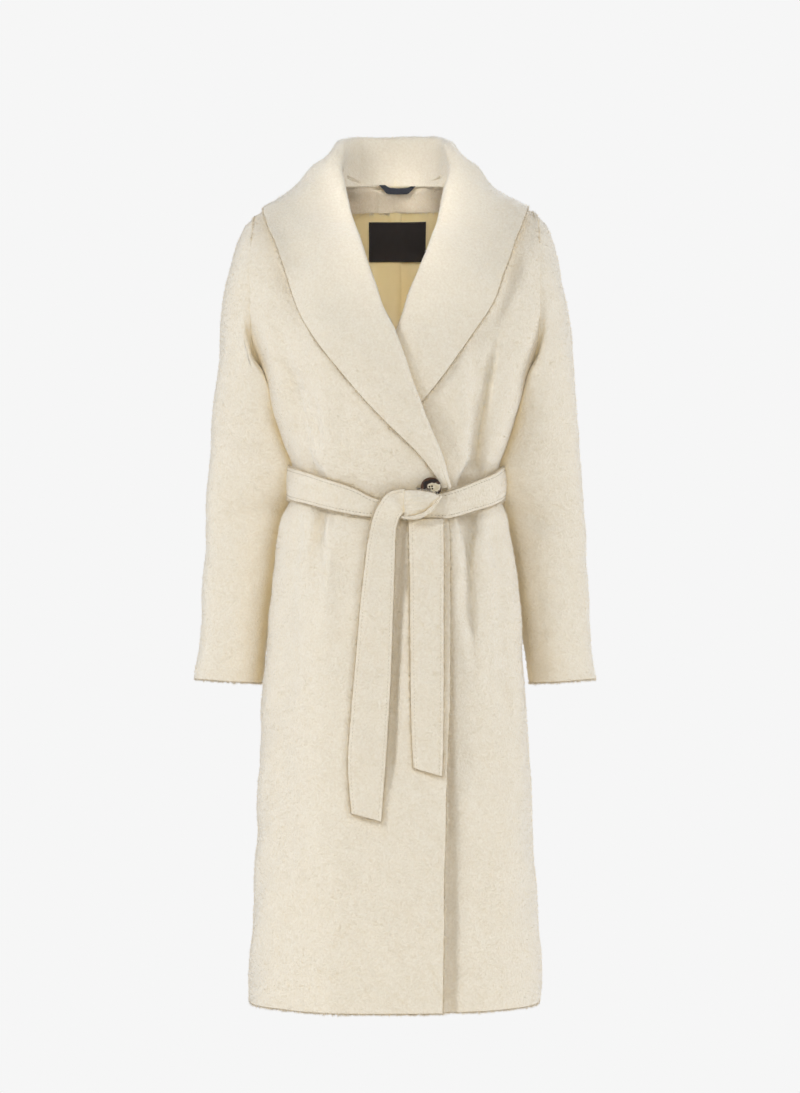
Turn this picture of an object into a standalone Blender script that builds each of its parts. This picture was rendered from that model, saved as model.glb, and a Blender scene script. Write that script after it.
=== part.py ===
"""Wrap coat with a shawl collar and a tied belt, hollow, in the shape it has when it is worn.

Every size below is in millimetres, and make_object turns it into metres. +X is the wearer's left,
the front faces -Y and +Z is up. The origin lies between the shoulders, level with the neck seam,
where the wearer's shoulders hold the coat up.

The body of the coat is one outer skin, worked out from a table of levels. Fronts, back, lining, belt
and collar are all laid on that skin, each moved in or out by its own distance, so none can cross.
"""

import math
from typing import NamedTuple

import bpy
import numpy as np
from mathutils import Vector
from mathutils.bvhtree import BVHTree

# Cloth and clearances
CLOTH = 4.0            # one layer of the deep-piled wool cloth, with its nap
COLLAR_CLOTH = 4.4     # the collar is faced, so it is a little thicker
BELT_CLOTH = 5.0       # the belt is a double layer
LINING_CLOTH = 1.2     # satin, with the seam allowance behind it
SEAM_GAP = 0.3         # between two pieces that are sewn edge to edge
LAYER_GAP = 0.6        # between two pieces that lie face to face

# Driving sizes of the coat
HEM_Z = -1155.0
UNDERARM_Z = -280.0
NECK_HALF_WIDTH = 72.0
NECK_POINT_Z = 16.0
NAPE_DIP = 14.0          # how far the back neckline drops below the neck points
SHOULDER_TIP_X = 200.0
SHOULDER_TIP_Z = -42.0
SHOULDER_SLOPE = (SHOULDER_TIP_Z - NECK_POINT_Z) / (SHOULDER_TIP_X - NECK_HALF_WIDTH)
SHOULDER_ROUND = 110.0   # how far below the shoulder line the full depth of the chest is reached
SIDE_Y = 10.0            # the side seams lie this far behind the middle
NECK_SEAM_Y = 5.0        # the shoulder seams start this far behind the middle
BACK_NECK_REACH = 57.0   # from the neck points back to the nape
FRONT_NECK_REACH = 40.0
BELT_WIDTH = 50.0

RIGHT, LEFT = -1, 1      # the wearer's right and left, as the sign of x

FRONT_ROUNDNESS = 2.3    # exponent of the section, where 2 is an ellipse
BACK_ROUNDNESS = 2.25
FRONT_COLUMNS = 17
BACK_COLUMNS = 23

# Heights of the rows of every body panel: shares of the way from the shoulder to the underarm, then levels
ARM_ROWS = (0.0, 0.09, 0.2, 0.32, 0.45, 0.58, 0.7, 0.81, 0.9, 0.96, 1.0)
BODY_ROWS = (-294.0, -316.0, -342.0, -368.0, -390.0, -408.0, -424.0, -437.0, -452.0, -468.0, -486.0,
             -510.0, -545.0, -590.0, -645.0, -720.0, -830.0, -945.0, -1060.0, HEM_Z)


class Level(NamedTuple):
    """The outside of the coat's body at one height. Dent is how far the sleeve presses the side in, at dent_y."""

    z: float
    half_width: float
    front: float
    back: float
    dent: float
    dent_y: float


LEVELS = (
    #     z        half_width front  back   dent   dent_y
    Level(20.0,    232.0,    42.0,  74.0,   0.0,  5.0),
    Level(-40.0,   236.0,    72.0,  94.0,   0.0,  5.0),
    Level(-100.0,  238.0,    102.0, 109.0,  0.0,  5.0),
    Level(-170.0,  230.0,    127.0, 115.0,  0.0,  5.0),
    Level(-220.0,  213.0,    138.0, 115.0,  1.0,  5.0),
    Level(-256.0,  201.0,    142.0, 114.0,  6.0,  12.0),
    Level(-280.0,  195.0,    142.0, 113.0,  14.0, 15.0),
    Level(-304.0,  188.0,    140.0, 111.0,  21.0, 18.0),
    Level(-345.0,  171.0,    133.0, 108.0,  12.0, 40.0),
    Level(-385.0,  157.0,    126.0, 108.0,  11.0, 56.0),
    Level(-432.0,  153.0,    122.0, 108.0,  11.0, 60.0),
    Level(-476.0,  163.0,    127.0, 113.0,  12.0, 57.0),
    Level(-530.0,  172.0,    132.0, 120.0,  10.0, 56.0),
    Level(-588.0,  178.0,    138.0, 127.0,  8.0,  51.0),
    Level(-646.0,  183.0,    143.0, 133.0,  5.0,  46.0),
    Level(-704.0,  187.0,    147.0, 138.0,  3.0,  40.0),
    Level(-815.0,  192.0,    154.0, 146.0,  0.0,  40.0),
    Level(-900.0,  196.5,    159.0, 151.0,  0.0,  40.0),
    Level(-985.0,  200.5,    163.0, 155.0,  0.0,  40.0),
    Level(-1070.0, 205.0,    167.0, 159.0,  0.0,  40.0),
    Level(HEM_Z,   209.0,    170.0, 162.0,  0.0,  40.0),
)
DENT_SPREAD = 36.0
BELT_PRESS, BELT_PRESS_REACH = 9.0, 33.0   # how deep and how far up and down the belt presses the cloth in


class Armhole(NamedTuple):
    """Where the armhole crosses one row: share of the way down, and the x of its front and back edge."""

    share: float
    front_x: float
    back_x: float


ARMHOLE = (
    #       share front_x back_x
    Armhole(0.0,  200.0,  200.0),
    Armhole(0.2,  203.0,  198.0),
    Armhole(0.45, 205.0,  194.0),
    Armhole(0.7,  203.0,  191.0),
    Armhole(0.9,  198.0,  188.0),
    Armhole(0.96, 196.0,  190.0),
    Armhole(1.0,  195.0,  195.0),
)


class EdgePoint(NamedTuple):
    """The front edge of one front: how far it stays on its own side of the middle at a height."""

    z: float
    x: float


FRONT_EDGE = (
    #         z        x
    EdgePoint(16.0,    70.0),
    EdgePoint(-22.7,   66.3),
    EdgePoint(-41.7,   61.9),
    EdgePoint(-67.6,   52.6),
    EdgePoint(-95.4,   41.9),
    EdgePoint(-135.7,  26.4),
    EdgePoint(-199.7,  2.6),
    EdgePoint(-247.0,  -13.3),
    EdgePoint(-302.0,  -32.7),
    EdgePoint(-356.0,  -52.1),
    EdgePoint(-403.0,  -67.7),
    EdgePoint(-426.6,  -74.5),
    EdgePoint(-470.0,  -74.0),
    EdgePoint(-700.0,  -72.0),
    EdgePoint(-900.0,  -66.5),
    EdgePoint(HEM_Z,   -63.6),
)
ROLL_INSET = 9.0         # above the break point the panel stops this far inside the rolled edge
BREAK_Z = -433.0         # just below where the lapel runs out into the front edge


class Lift(NamedTuple):
    """How far the right front stands off the left one at a height, beyond one layer of cloth."""

    z: float
    rise: float


RIGHT_FRONT_LIFT = (
    Lift(16.0, 0.0), Lift(-110.0, 0.5), Lift(-160.0, 6.0), Lift(-205.0, 14.0), Lift(-240.0, 16.0),
    Lift(-350.0, 15.5), Lift(-395.0, 12.5), Lift(-428.0, 10.5), Lift(-450.0, 5.0), Lift(-475.0, 3.0),
    Lift(-520.0, 4.0), Lift(-620.0, 8.0), Lift(-760.0, 9.0), Lift(HEM_Z, 9.0),
)
LIFT_FROM_X, LIFT_TO_X = -165.0, -80.0


class Fold(NamedTuple):
    """A soft valley in the skin that starts at the belt and fades out. Bow bends its path sideways."""

    half: str
    belt_x: float
    belt_z: float
    far_x: float
    far_z: float
    depth: float
    width: float
    far_width: float
    bow: float


FOLDS = (
    #    half     belt_x  belt_z  far_x   far_z   depth width far_width bow
    Fold("front", -104.0, -425.0, -178.0, -120.0, 12.0, 13.0, 27.0,     -8.0),
    Fold("front", 117.0,  -425.0, 160.0,  -130.0, 19.0, 12.5, 26.0,     -14.0),
    Fold("front", -106.0, -450.0, -98.0,  -600.0, 10.0, 12.0, 20.0,     0.0),
    Fold("front", 107.0,  -450.0, 112.0,  -690.0, 17.0, 11.5, 20.0,     -3.0),
    Fold("back",  -98.0,  -420.0, -140.0, -190.0, 12.0, 15.0, 28.0,     4.0),
    Fold("back",  -38.0,  -420.0, -56.0,  -235.0, 9.0,  14.0, 26.0,     0.0),
    Fold("back",  30.0,   -420.0, 40.0,   -255.0, 8.0,  14.0, 26.0,     0.0),
    Fold("back",  92.0,   -420.0, 136.0,  -180.0, 13.0, 15.0, 28.0,     -4.0),
    Fold("back",  -104.0, -440.0, -122.0, -720.0, 14.0, 14.0, 26.0,     2.0),
    Fold("back",  -44.0,  -440.0, -50.0,  -620.0, 10.0, 13.0, 26.0,     0.0),
    Fold("back",  36.0,   -440.0, 46.0,   -660.0, 11.0, 13.0, 28.0,     0.0),
    Fold("back",  100.0,  -440.0, 122.0,  -750.0, 14.0, 14.0, 28.0,     -2.0),
)


class SleeveRing(NamedTuple):
    """One ring of the hanging sleeve: its outermost and innermost point from the front, and its depth."""

    outer_x: float
    outer_z: float
    inner_x: float
    inner_z: float
    mid_y: float
    half_depth: float


SLEEVE_RINGS = (
    #          outer_x outer_z inner_x inner_z mid_y half_depth
    SleeveRing(246.0,  -180.0, 183.5,  -303.0, 15.0, 72.0),
    SleeveRing(254.0,  -255.0, 173.0,  -331.0, 25.0, 69.0),
    SleeveRing(260.0,  -318.0, 158.5,  -371.0, 40.0, 65.0),
    SleeveRing(264.5,  -385.0, 143.5,  -416.0, 56.0, 60.0),
    SleeveRing(268.5,  -450.0, 146.0,  -466.0, 62.0, 57.0),
    SleeveRing(273.0,  -515.0, 158.0,  -522.0, 59.0, 55.0),
    SleeveRing(277.0,  -575.0, 170.0,  -580.0, 52.0, 54.0),
    SleeveRing(281.0,  -640.0, 180.0,  -645.0, 44.0, 52.0),
    SleeveRing(285.0,  -699.0, 188.5,  -705.0, 35.0, 50.0),
)
CAP_SHARES = (0.12, 0.3, 0.5, 0.75)   # rings between the armhole and the first full ring
CAP_START, CAP_END = 0.55, 0.68       # how strongly the cap follows the shoulder, then the arm


class CollarStation(NamedTuple):
    """One line across the collar, on the wearer's own side: the top of its fold, its outer and inner edge.

    Face is the direction in which the fall looks there: 0 is forward, 90 to the side and 180 back.
    """

    fold_x: float
    fold_y: float
    fold_z: float
    edge_x: float
    edge_y: float
    edge_z: float
    face: float
    radius: float
    inner_x: float
    inner_y: float
    inner_z: float


COLLAR_STATIONS = (
    #             fold_x fold_y  fold_z edge_x edge_y  edge_z  face   radius inner_x inner_y inner_z
    CollarStation(0.0,   76.0,   75.0,  0.0,   93.0,   -52.0,  180.0, 7.0,   0.0,    59.5,   3.2),
    CollarStation(28.0,  73.0,   75.0,  60.0,  87.0,   -50.0,  166.0, 7.0,   26.0,   53.0,   5.4),
    CollarStation(54.0,  61.0,   75.0,  112.0, 78.0,   -46.0,  140.0, 7.0,   46.0,   37.5,   10.6),
    CollarStation(72.0,  38.0,   70.0,  154.0, 54.0,   -38.0,  112.0, 7.0,   58.5,   17.0,   16.5),
    CollarStation(79.0,  10.0,   59.0,  181.0, 20.0,   -28.0,  90.0,  7.5,   62.5,   2.0,    8.0),
    CollarStation(80.0,  -12.0,  38.0,  187.0, -12.0,  -32.0,  72.0,  8.0,   62.0,   -8.0,   -4.0),
    CollarStation(77.0,  -30.0,  12.0,  183.0, -42.0,  -48.0,  57.0,  8.0,   64.0,   -17.0,  -22.0),
    CollarStation(70.0,  -47.0,  -20.0, 172.0, -70.0,  -76.0,  46.0,  8.0,   71.0,   -32.0,  -47.0),
    CollarStation(59.5,  -66.0,  -53.0, 157.0, -98.0,  -115.0, 36.0,  8.0,   78.0,   -56.0,  -80.0),
)


class LapelStation(NamedTuple):
    """One line across the lapel below the collar: heights of its roll and outer edge, and the edge's x."""

    roll_z: float
    edge_x: float
    edge_z: float
    radius: float
    inner_leg: float


LAPEL_STATIONS = (
    #            roll_z  edge_x edge_z  radius inner_leg
    LapelStation(-95.0,  138.5, -162.0, 7.5,   28.0),
    LapelStation(-140.0, 114.0, -205.0, 7.0,   28.0),
    LapelStation(-192.0, 85.0,  -246.0, 6.5,   28.0),
    LapelStation(-247.0, 56.0,  -286.0, 6.0,   27.0),
    LapelStation(-300.0, 22.0,  -327.0, 5.6,   24.0),
    LapelStation(-346.0, -10.0, -360.0, 5.3,   20.0),
    LapelStation(-382.0, -36.0, -391.0, 5.2,   17.0),
    LapelStation(-403.0, -48.0, -409.0, 5.2,   14.0),
    LapelStation(-417.0, -55.0, -421.0, 5.2,   12.0),
)
COLLAR_ROWS = 24
FALL_SHARES = (0.18, 0.38, 0.6, 0.82, 1.0)
COLLAR_REST = COLLAR_CLOTH / 2 + LAYER_GAP + 1.7   # height of the middle of the fall over what it lies on
COLLAR_LEG_REST = COLLAR_CLOTH / 2 + LAYER_GAP + 0.5


class TailRow(NamedTuple):
    """One line across a hanging end of the belt, and how far its back stands off what is behind it."""

    left_x: float
    left_z: float
    right_x: float
    right_z: float
    off: float


LONG_TAIL = (
    #       left_x left_z  right_x right_z off
    TailRow(13.6,  -432.0, 13.6,   -463.5, 8.0),
    TailRow(-2.8,  -433.5, 9.8,    -466.7, 10.0),
    TailRow(-16.6, -443.2, 7.0,    -470.8, 10.0),
    TailRow(-25.6, -458.4, 4.8,    -476.4, 8.0),
    TailRow(-31.8, -476.4, 2.1,    -486.1, 8.0),
    TailRow(-37.4, -502.7, 0.7,    -511.0, 13.0),
    TailRow(-44.3, -558.1, -0.7,   -562.2, 10.0),
    TailRow(-49.8, -613.5, -2.8,   -616.2, 7.0),
    TailRow(-55.4, -677.1, -4.8,   -679.9, 5.0),
    TailRow(-60.9, -745.0, -8.3,   -747.7, 4.0),
    TailRow(-65.1, -808.7, -12.5,  -812.8, 3.0),
    TailRow(-63.0, -848.8, -15.9,  -855.7, 3.0),
    TailRow(-60.2, -879.3, -18.7,  -890.4, 3.5),
)
SHORT_TAIL = (
    #       left_x left_z  right_x right_z off
    TailRow(19.4,  -472.9, 67.0,   -473.2, 3.0),
    TailRow(20.0,  -500.0, 67.5,   -500.0, 4.5),
    TailRow(20.8,  -530.4, 68.0,   -530.4, 3.5),
    TailRow(21.5,  -613.5, 68.0,   -614.8, 2.0),
    TailRow(22.2,  -696.5, 67.5,   -697.9, 2.0),
    TailRow(23.5,  -765.7, 67.1,   -769.9, 2.0),
    TailRow(26.2,  -817.0, 65.6,   -828.6, 2.5),
)
TAIL_COLUMNS = 4


class BeltPoint(NamedTuple):
    """The belt at one bearing from the middle of the waist: the height of its centre line, and its width."""

    bearing: float
    z: float
    width: float


BELT_POINTS = (
    #         bearing z       width
    BeltPoint(-180.0, -412.0, BELT_WIDTH),
    BeltPoint(-120.0, -414.0, BELT_WIDTH),
    BeltPoint(-90.0,  -419.0, 45.0),
    BeltPoint(-62.0,  -426.0, 44.0),
    BeltPoint(-42.0,  -437.0, 42.0),
    BeltPoint(-26.0,  -447.0, 38.0),
    BeltPoint(-12.0,  -457.0, 26.0),
    BeltPoint(3.0,    -460.0, 18.0),
    BeltPoint(16.0,   -460.0, 22.0),
    BeltPoint(28.0,   -458.5, 27.0),
    BeltPoint(40.0,   -449.0, 38.0),
    BeltPoint(58.0,   -436.0, 43.0),
    BeltPoint(76.0,   -425.0, 45.0),
    BeltPoint(92.0,   -419.0, 46.0),
    BeltPoint(120.0,  -414.0, BELT_WIDTH),
    BeltPoint(180.0,  -412.0, BELT_WIDTH),
)
BELT_COLUMNS, BELT_ROWS = 48, 4
BELT_MIDDLE_Y = 0.0
BELT_FEEL = 4.0          # the band clears what bulges this far above and below it


class KnotRow(NamedTuple):
    """One line down the knot's wrap, from its top to its bottom, and how far its middle bulges."""

    top_x: float
    top_z: float
    bottom_x: float
    bottom_z: float
    bulge: float


KNOT_ROWS = (
    #       top_x  top_z   bottom_x bottom_z bulge
    KnotRow(14.0,  -431.5, 14.0,    -472.0,  7.0),
    KnotRow(22.0,  -431.5, 20.0,    -472.5,  10.0),
    KnotRow(32.0,  -433.5, 26.5,    -471.5,  11.5),
    KnotRow(43.0,  -437.0, 34.0,    -468.5,  11.0),
    KnotRow(54.0,  -441.5, 43.0,    -463.5,  9.0),
    KnotRow(62.5,  -446.0, 52.0,    -457.0,  6.0),
)
KNOT_COLUMNS = 7

FACING_DROP, FACING_BOTTOM_Z, FACING_HALF_WIDTH = 1.0, -33.0, 63.0
LINING_PLEAT = 2.5       # how far the pleat in the middle of the lining stands out


class SheetRow(NamedTuple):
    """How wide the lining is at one height, counted from its middle."""

    z: float
    half_width: float


LINING_ROWS = (
    SheetRow(FACING_BOTTOM_Z - SEAM_GAP, 63.0), SheetRow(-48.0, 72.0), SheetRow(-66.0, 84.0),
    SheetRow(-90.0, 98.0), SheetRow(-120.0, 112.0), SheetRow(-160.0, 124.0), SheetRow(-205.0, 130.0),
    SheetRow(-250.0, 132.0), SheetRow(-300.0, 130.0), SheetRow(-345.0, 124.0),
)
LABEL_X, LABEL_TOP_Z = 3.2, -45.5
LABEL_WIDTH, LABEL_HEIGHT, LABEL_THICKNESS = 82.0, 55.0, 0.8
LOOP_TOP_WIDTH, LOOP_BOTTOM_WIDTH, LOOP_THICKNESS = 53.0, 32.0, 2.0
LOOP_TOP_Z, LOOP_DROP = -1.5, 11.0
BUTTON_X, BUTTON_Z = 50.0, -429.5
BUTTON_RADIUS, BUTTON_THICKNESS = 14.5, 4.2
BUTTON_SIDES = 32

WOOL = ("cream_wool", (0.80, 0.74, 0.62), 0.95, 0.0)
SATIN = ("cream_satin", (0.78, 0.68, 0.46), 0.35, 0.0)
LABEL_WEAVE = ("label_black", (0.015, 0.012, 0.012), 0.7, 0.0)
LOOP_SATIN = ("loop_navy", (0.02, 0.025, 0.035), 0.45, 0.0)
HORN = ("button_horn", (0.16, 0.10, 0.06), 0.3, 0.0)


# Small mathematics

def smoothstep(value):
    """0 below 0, 1 above 1, and an even S between."""
    clipped = np.clip(value, 0.0, 1.0)
    return clipped * clipped * (3.0 - 2.0 * clipped)


def through(keys, values, at):
    """A smooth curve through a table, which never overshoots its points."""
    keys, values = np.asarray(keys, float), np.asarray(values, float)
    if keys[0] > keys[-1]:
        keys, values = keys[::-1], values[::-1]
    steps = np.diff(keys)
    slopes = np.diff(values) / steps
    tangents = np.zeros(len(keys))
    tangents[0], tangents[-1] = slopes[0], slopes[-1]
    for i in range(1, len(keys) - 1):
        before, after = slopes[i - 1], slopes[i]
        if before * after > 0:
            weight_a = 2 * steps[i] + steps[i - 1]
            weight_b = steps[i] + 2 * steps[i - 1]
            tangents[i] = (weight_a + weight_b) / (weight_a / before + weight_b / after)
    at = np.clip(np.asarray(at, float), keys[0], keys[-1])
    i = np.clip(np.searchsorted(keys, at, side="right") - 1, 0, len(steps) - 1)
    share = (at - keys[i]) / steps[i]
    square, cube = share**2, share**3
    return ((2 * cube - 3 * square + 1) * values[i] + (cube - 2 * square + share) * steps[i] * tangents[i]
            + (3 * square - 2 * cube) * values[i + 1] + (cube - square) * steps[i] * tangents[i + 1])


def column(table, name):
    """One named column of a table."""
    return [getattr(row, name) for row in table]


def look_up(table, key, name, at):
    """The named column of a table at a place between its rows."""
    return float(through(column(table, key), column(table, name), at))


def unit(vector):
    """Vectors of length 1, along the last axis."""
    vector = np.asarray(vector, float)
    return vector / np.maximum(np.linalg.norm(vector, axis=-1, keepdims=True), 1e-9)


def lerp(a, b, share):
    """The point a share of the way from a to b."""
    return a + (b - a) * share


# The skin of the coat's body

def shoulder_line(half, x):
    """Height of the shoulder line, and across the neck of the panel's top edge."""
    dip = NAPE_DIP * max(1.0 - (x / NECK_HALF_WIDTH) ** 2, 0.0) if half == "back" else 0.0
    return NECK_POINT_Z - dip + SHOULDER_SLOPE * max(abs(x) - NECK_HALF_WIDTH, 0.0)


def seam_depth(half, x):
    """The y of the shoulder seam, and of the neckline between the two neck points."""
    inside = max(1.0 - (x / NECK_HALF_WIDTH) ** 2, 0.0)
    if half == "back":
        return NECK_SEAM_Y + BACK_NECK_REACH * inside**0.8
    return NECK_SEAM_Y - FRONT_NECK_REACH * inside**0.5


def fold_depth(half, x, z):
    """How far the folds draw the skin in at a point."""
    drawn = 0.0
    for fold in FOLDS:
        if fold.half != half:
            continue
        share = (z - fold.belt_z) / (fold.far_z - fold.belt_z)
        if share < -0.25 or share > 1.0:
            continue
        bowed = fold.bow * math.sin(math.pi * np.clip(share, 0.0, 1.0))
        middle = lerp(fold.belt_x, fold.far_x, share) + bowed
        width = lerp(fold.width, fold.far_width, max(share, 0.0))
        strength = (1.0 - max(share, 0.0)) ** 1.2 * smoothstep((share + 0.25) / 0.2)
        drawn += fold.depth * strength * math.exp(-((x - middle) / width) ** 2)
    return float(drawn)


def belt_level(half, x):
    """Height of the middle of the belt's groove at an x."""
    if half == "back":
        return -413.0
    return lerp(-459.0, -417.0, float(smoothstep((abs(x - 12.0) - 15.0) / 150.0)))


def shoulder_power(x):
    """How squarely the skin turns over the shoulder line: softly at the neck, more fully further out."""
    return 1.15 + 0.95 * float(smoothstep((abs(x) - 55.0) / 60.0))


def roundness(half):
    """The exponent of the section's front or back half."""
    return FRONT_ROUNDNESS if half == "front" else BACK_ROUNDNESS


def skin(half, angle, z, out=0.0):
    """A point of the body's outer skin, moved out by a distance. Angle 0 is the middle, 90 degrees the side."""
    power = 2.0 / roundness(half)
    reach = look_up(LEVELS, "z", "half_width", z)
    depth = look_up(LEVELS, "z", half, z)
    forward = -1.0 if half == "front" else 1.0
    sine, cosine = math.sin(angle), math.cos(angle)
    x = reach * math.copysign(abs(sine) ** power, sine)
    half_depth = depth - forward * SIDE_Y
    y_level = SIDE_Y + forward * half_depth * max(cosine, 0.0) ** power
    below = (shoulder_line(half, x) - z) / SHOULDER_ROUND
    power = shoulder_power(x)
    rounding = (1.0 - (1.0 - float(np.clip(below, 0.0, 1.0))) ** power) ** (1.0 / power)
    y = lerp(seam_depth(half, x), y_level, rounding)
    aside = (y - look_up(LEVELS, "z", "dent_y", z)) / DENT_SPREAD
    dent = look_up(LEVELS, "z", "dent", z) * math.exp(-aside**2)
    pressed = BELT_PRESS * math.exp(-(((z - belt_level(half, x)) / BELT_PRESS_REACH) ** 4))
    drawn = fold_depth(half, x, z) + pressed
    moved = out - drawn
    x_sign = math.copysign(1.0, x)
    return np.array([x - x_sign * dent + moved * sine, y + moved * forward * cosine, z])


def angle_at(half, x, z):
    """The angle at which the skin reaches an x at a height."""
    reach = look_up(LEVELS, "z", "half_width", z)
    share = min(abs(x) / reach, 1.0)
    return math.copysign(math.asin(share ** (roundness(half) / 2.0)), x)


def row_point(half, angle, share):
    """A point of the skin above the underarm, a share of the way down from the shoulder line."""
    x, z = 0.0, UNDERARM_Z * share
    for _ in range(12):
        reach = look_up(LEVELS, "z", "half_width", z)
        x = reach * math.copysign(abs(math.sin(angle)) ** (2.0 / roundness(half)), angle)
        z = lerp(shoulder_line(half, x), UNDERARM_Z, share)
    return x, z


def lift_at(x, z):
    """How far the right front's outside stands off the skin at an x, over the left front."""
    over = smoothstep((x - LIFT_FROM_X) / (LIFT_TO_X - LIFT_FROM_X))
    layers = min(1.0, max(0.0, (-z - 60.0) / 80.0))
    return float(over * (layers * (CLOTH + LAYER_GAP) + look_up(RIGHT_FRONT_LIFT, "z", "rise", z)))


def front_skin(side, x_own, z, out=0.0):
    """A point on the outside of one front, at an x counted towards the wearer's own side."""
    x = x_own * side
    raised = lift_at(x, z) if side == RIGHT else 0.0
    return skin("front", angle_at("front", x, z), z, raised + out)


def front_normal(side, x_own, z):
    """The outward direction of one front at a point, from its neighbours."""
    step = 4.0
    across = front_skin(side, x_own + step, z) - front_skin(side, x_own - step, z)
    up = front_skin(side, x_own, z + step) - front_skin(side, x_own, z - step)
    normal = unit(np.cross(across, up))
    return -normal if normal[1] > 0 else normal


# From grids of points to solids

def grid_normals(grid, closed=False):
    """Outward directions of a grid of points, from the rows and columns beside each.

    Closed joins the last column to the first.
    """
    if closed:
        along = np.roll(grid, -1, axis=1) - np.roll(grid, 1, axis=1)
    else:
        along = np.gradient(grid, axis=1)
    down = np.gradient(grid, axis=0)
    return unit(np.cross(along, down))


def make_object(name, points, faces, finish):
    """A named object from points in millimetres."""
    mesh = bpy.data.meshes.new(name)
    mesh.from_pydata((np.asarray(points, float) / 1000.0).tolist(), [], faces)
    mesh.validate()
    mesh.update()
    mesh.shade_smooth()
    mesh.set_sharp_from_angle(angle=math.radians(40.0))
    mesh.materials.append(material(*finish))
    made = bpy.data.objects.new(name, mesh)
    bpy.context.scene.collection.objects.link(made)
    return made


def material(name, colour, roughness, metallic):
    """The material of that name, made once."""
    found = bpy.data.materials.get(name)
    if found:
        return found
    made = bpy.data.materials.new(name)
    made.use_nodes = True
    shader = made.node_tree.nodes["Principled BSDF"]
    shader.inputs["Base Color"].default_value = (*colour, 1.0)
    shader.inputs["Roughness"].default_value = roughness
    shader.inputs["Metallic"].default_value = metallic
    return made


def solid_from_faces(name, outer, inner, finish, closed=False):
    """A closed solid between an outer and an inner grid of points. Closed joins the last column to the first.

    Both sides are cut into triangles along the same diagonals, so the wall keeps its thickness. The rims are
    cut along their shorter diagonals, so that two rims that meet at a seam match.
    """
    rows, columns = outer.shape[:2]
    points = np.concatenate([outer.reshape(-1, 3), inner.reshape(-1, 3)])
    shift = rows * columns
    faces = []

    def at(row, col, layer):
        return layer * shift + row * columns + col % columns

    last = columns if closed else columns - 1
    for row in range(rows - 1):
        for col in range(last):
            quad = [(row, col), (row, col + 1), (row + 1, col + 1), (row + 1, col)]
            for half in (quad[:3], [quad[0], *quad[2:]]):
                faces.append([at(r, c, 0) for r, c in reversed(half)])
                faces.append([at(r, c, 1) for r, c in half])
    rims = []
    for col in range(last):
        rims.append([at(0, col, 0), at(0, col + 1, 0), at(0, col + 1, 1), at(0, col, 1)])
        end = rows - 1
        rims.append([at(end, col + 1, 0), at(end, col, 0), at(end, col, 1), at(end, col + 1, 1)])
    if not closed:
        for row in range(rows - 1):
            rims.append([at(row + 1, 0, 0), at(row, 0, 0), at(row, 0, 1), at(row + 1, 0, 1)])
            end = columns - 1
            rims.append([at(row, end, 0), at(row + 1, end, 0), at(row + 1, end, 1), at(row, end, 1)])
    for a, b, c, d in rims:
        if np.linalg.norm(points[a] - points[c]) <= np.linalg.norm(points[b] - points[d]):
            faces += [[a, b, c], [a, c, d]]
        else:
            faces += [[a, b, d], [b, c, d]]
    if signed_volume(points, faces) < 0:
        faces = [face[::-1] for face in faces]
    return make_object(name, points, faces, finish)


def signed_volume(points, faces):
    """Volume inside the faces, negative where they face inwards."""
    total = 0.0
    for face in faces:
        for i in range(1, len(face) - 1):
            total += float(np.dot(points[face[0]], np.cross(points[face[i]], points[face[i + 1]])))
    return total / 6.0


def crowded(count, centre, spread, pull):
    """Shares from 0 to 1, closer together round a centre."""
    fine = np.linspace(0.0, 1.0, 801)
    density = 1.0 + pull * np.exp(-(((fine - centre) / spread) ** 2))
    running = np.concatenate([[0.0], np.cumsum((density[1:] + density[:-1]) / 2.0)])
    return np.interp(np.linspace(0.0, running[-1], count), running, fine)


# Fronts and back

SHOULDER_NORMAL = unit(np.array([-SHOULDER_SLOPE, 0.0, 1.0]))


def edge_inset(z):
    """How far the panel stops inside the rolled edge: all the way up the lapel, and nothing below it."""
    return ROLL_INSET * float(smoothstep((z - BREAK_Z) / 8.0))


def front_panel(side):
    """Outer and inner grid of one front. Row 0 is the shoulder seam, column 0 the armhole and side seam."""
    shares = crowded(FRONT_COLUMNS, 0.39, 0.13, 1.7)
    rows = []
    for share in ARM_ROWS:
        arm_x = look_up(ARMHOLE, "share", "front_x", share)
        arm_z = lerp(shoulder_line("front", arm_x), UNDERARM_Z, share)
        arm_angle = math.pi / 2 if share == 1.0 else angle_at("front", arm_x, arm_z)
        edge_z = lerp(NECK_POINT_Z, UNDERARM_Z, share)
        edge_x = look_up(FRONT_EDGE, "z", "x", edge_z) + edge_inset(edge_z)
        if share == 0.0:
            edge_x = NECK_HALF_WIDTH
        edge_angle = angle_at("front", edge_x, edge_z)
        row = []
        for part in shares:
            angle = lerp(arm_angle, edge_angle, part)
            row.append((row_point("front", angle, share)[1], angle))
        rows.append(row)
    for z in BODY_ROWS:
        edge_x = look_up(FRONT_EDGE, "z", "x", z) + edge_inset(z)
        edge_angle = angle_at("front", edge_x, z)
        rows.append([(z, lerp(math.pi / 2, edge_angle, part)) for part in shares])
    grid = np.zeros((len(rows), FRONT_COLUMNS, 3))
    for r, row in enumerate(rows):
        for c, (z, angle) in enumerate(row):
            flat = skin("front", angle * side, z)
            raised = lift_at(flat[0], z) if side == RIGHT else 0.0
            grid[r, c] = skin("front", angle * side, z, raised)
    return finish_panel(grid, side, forward=True)


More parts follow.
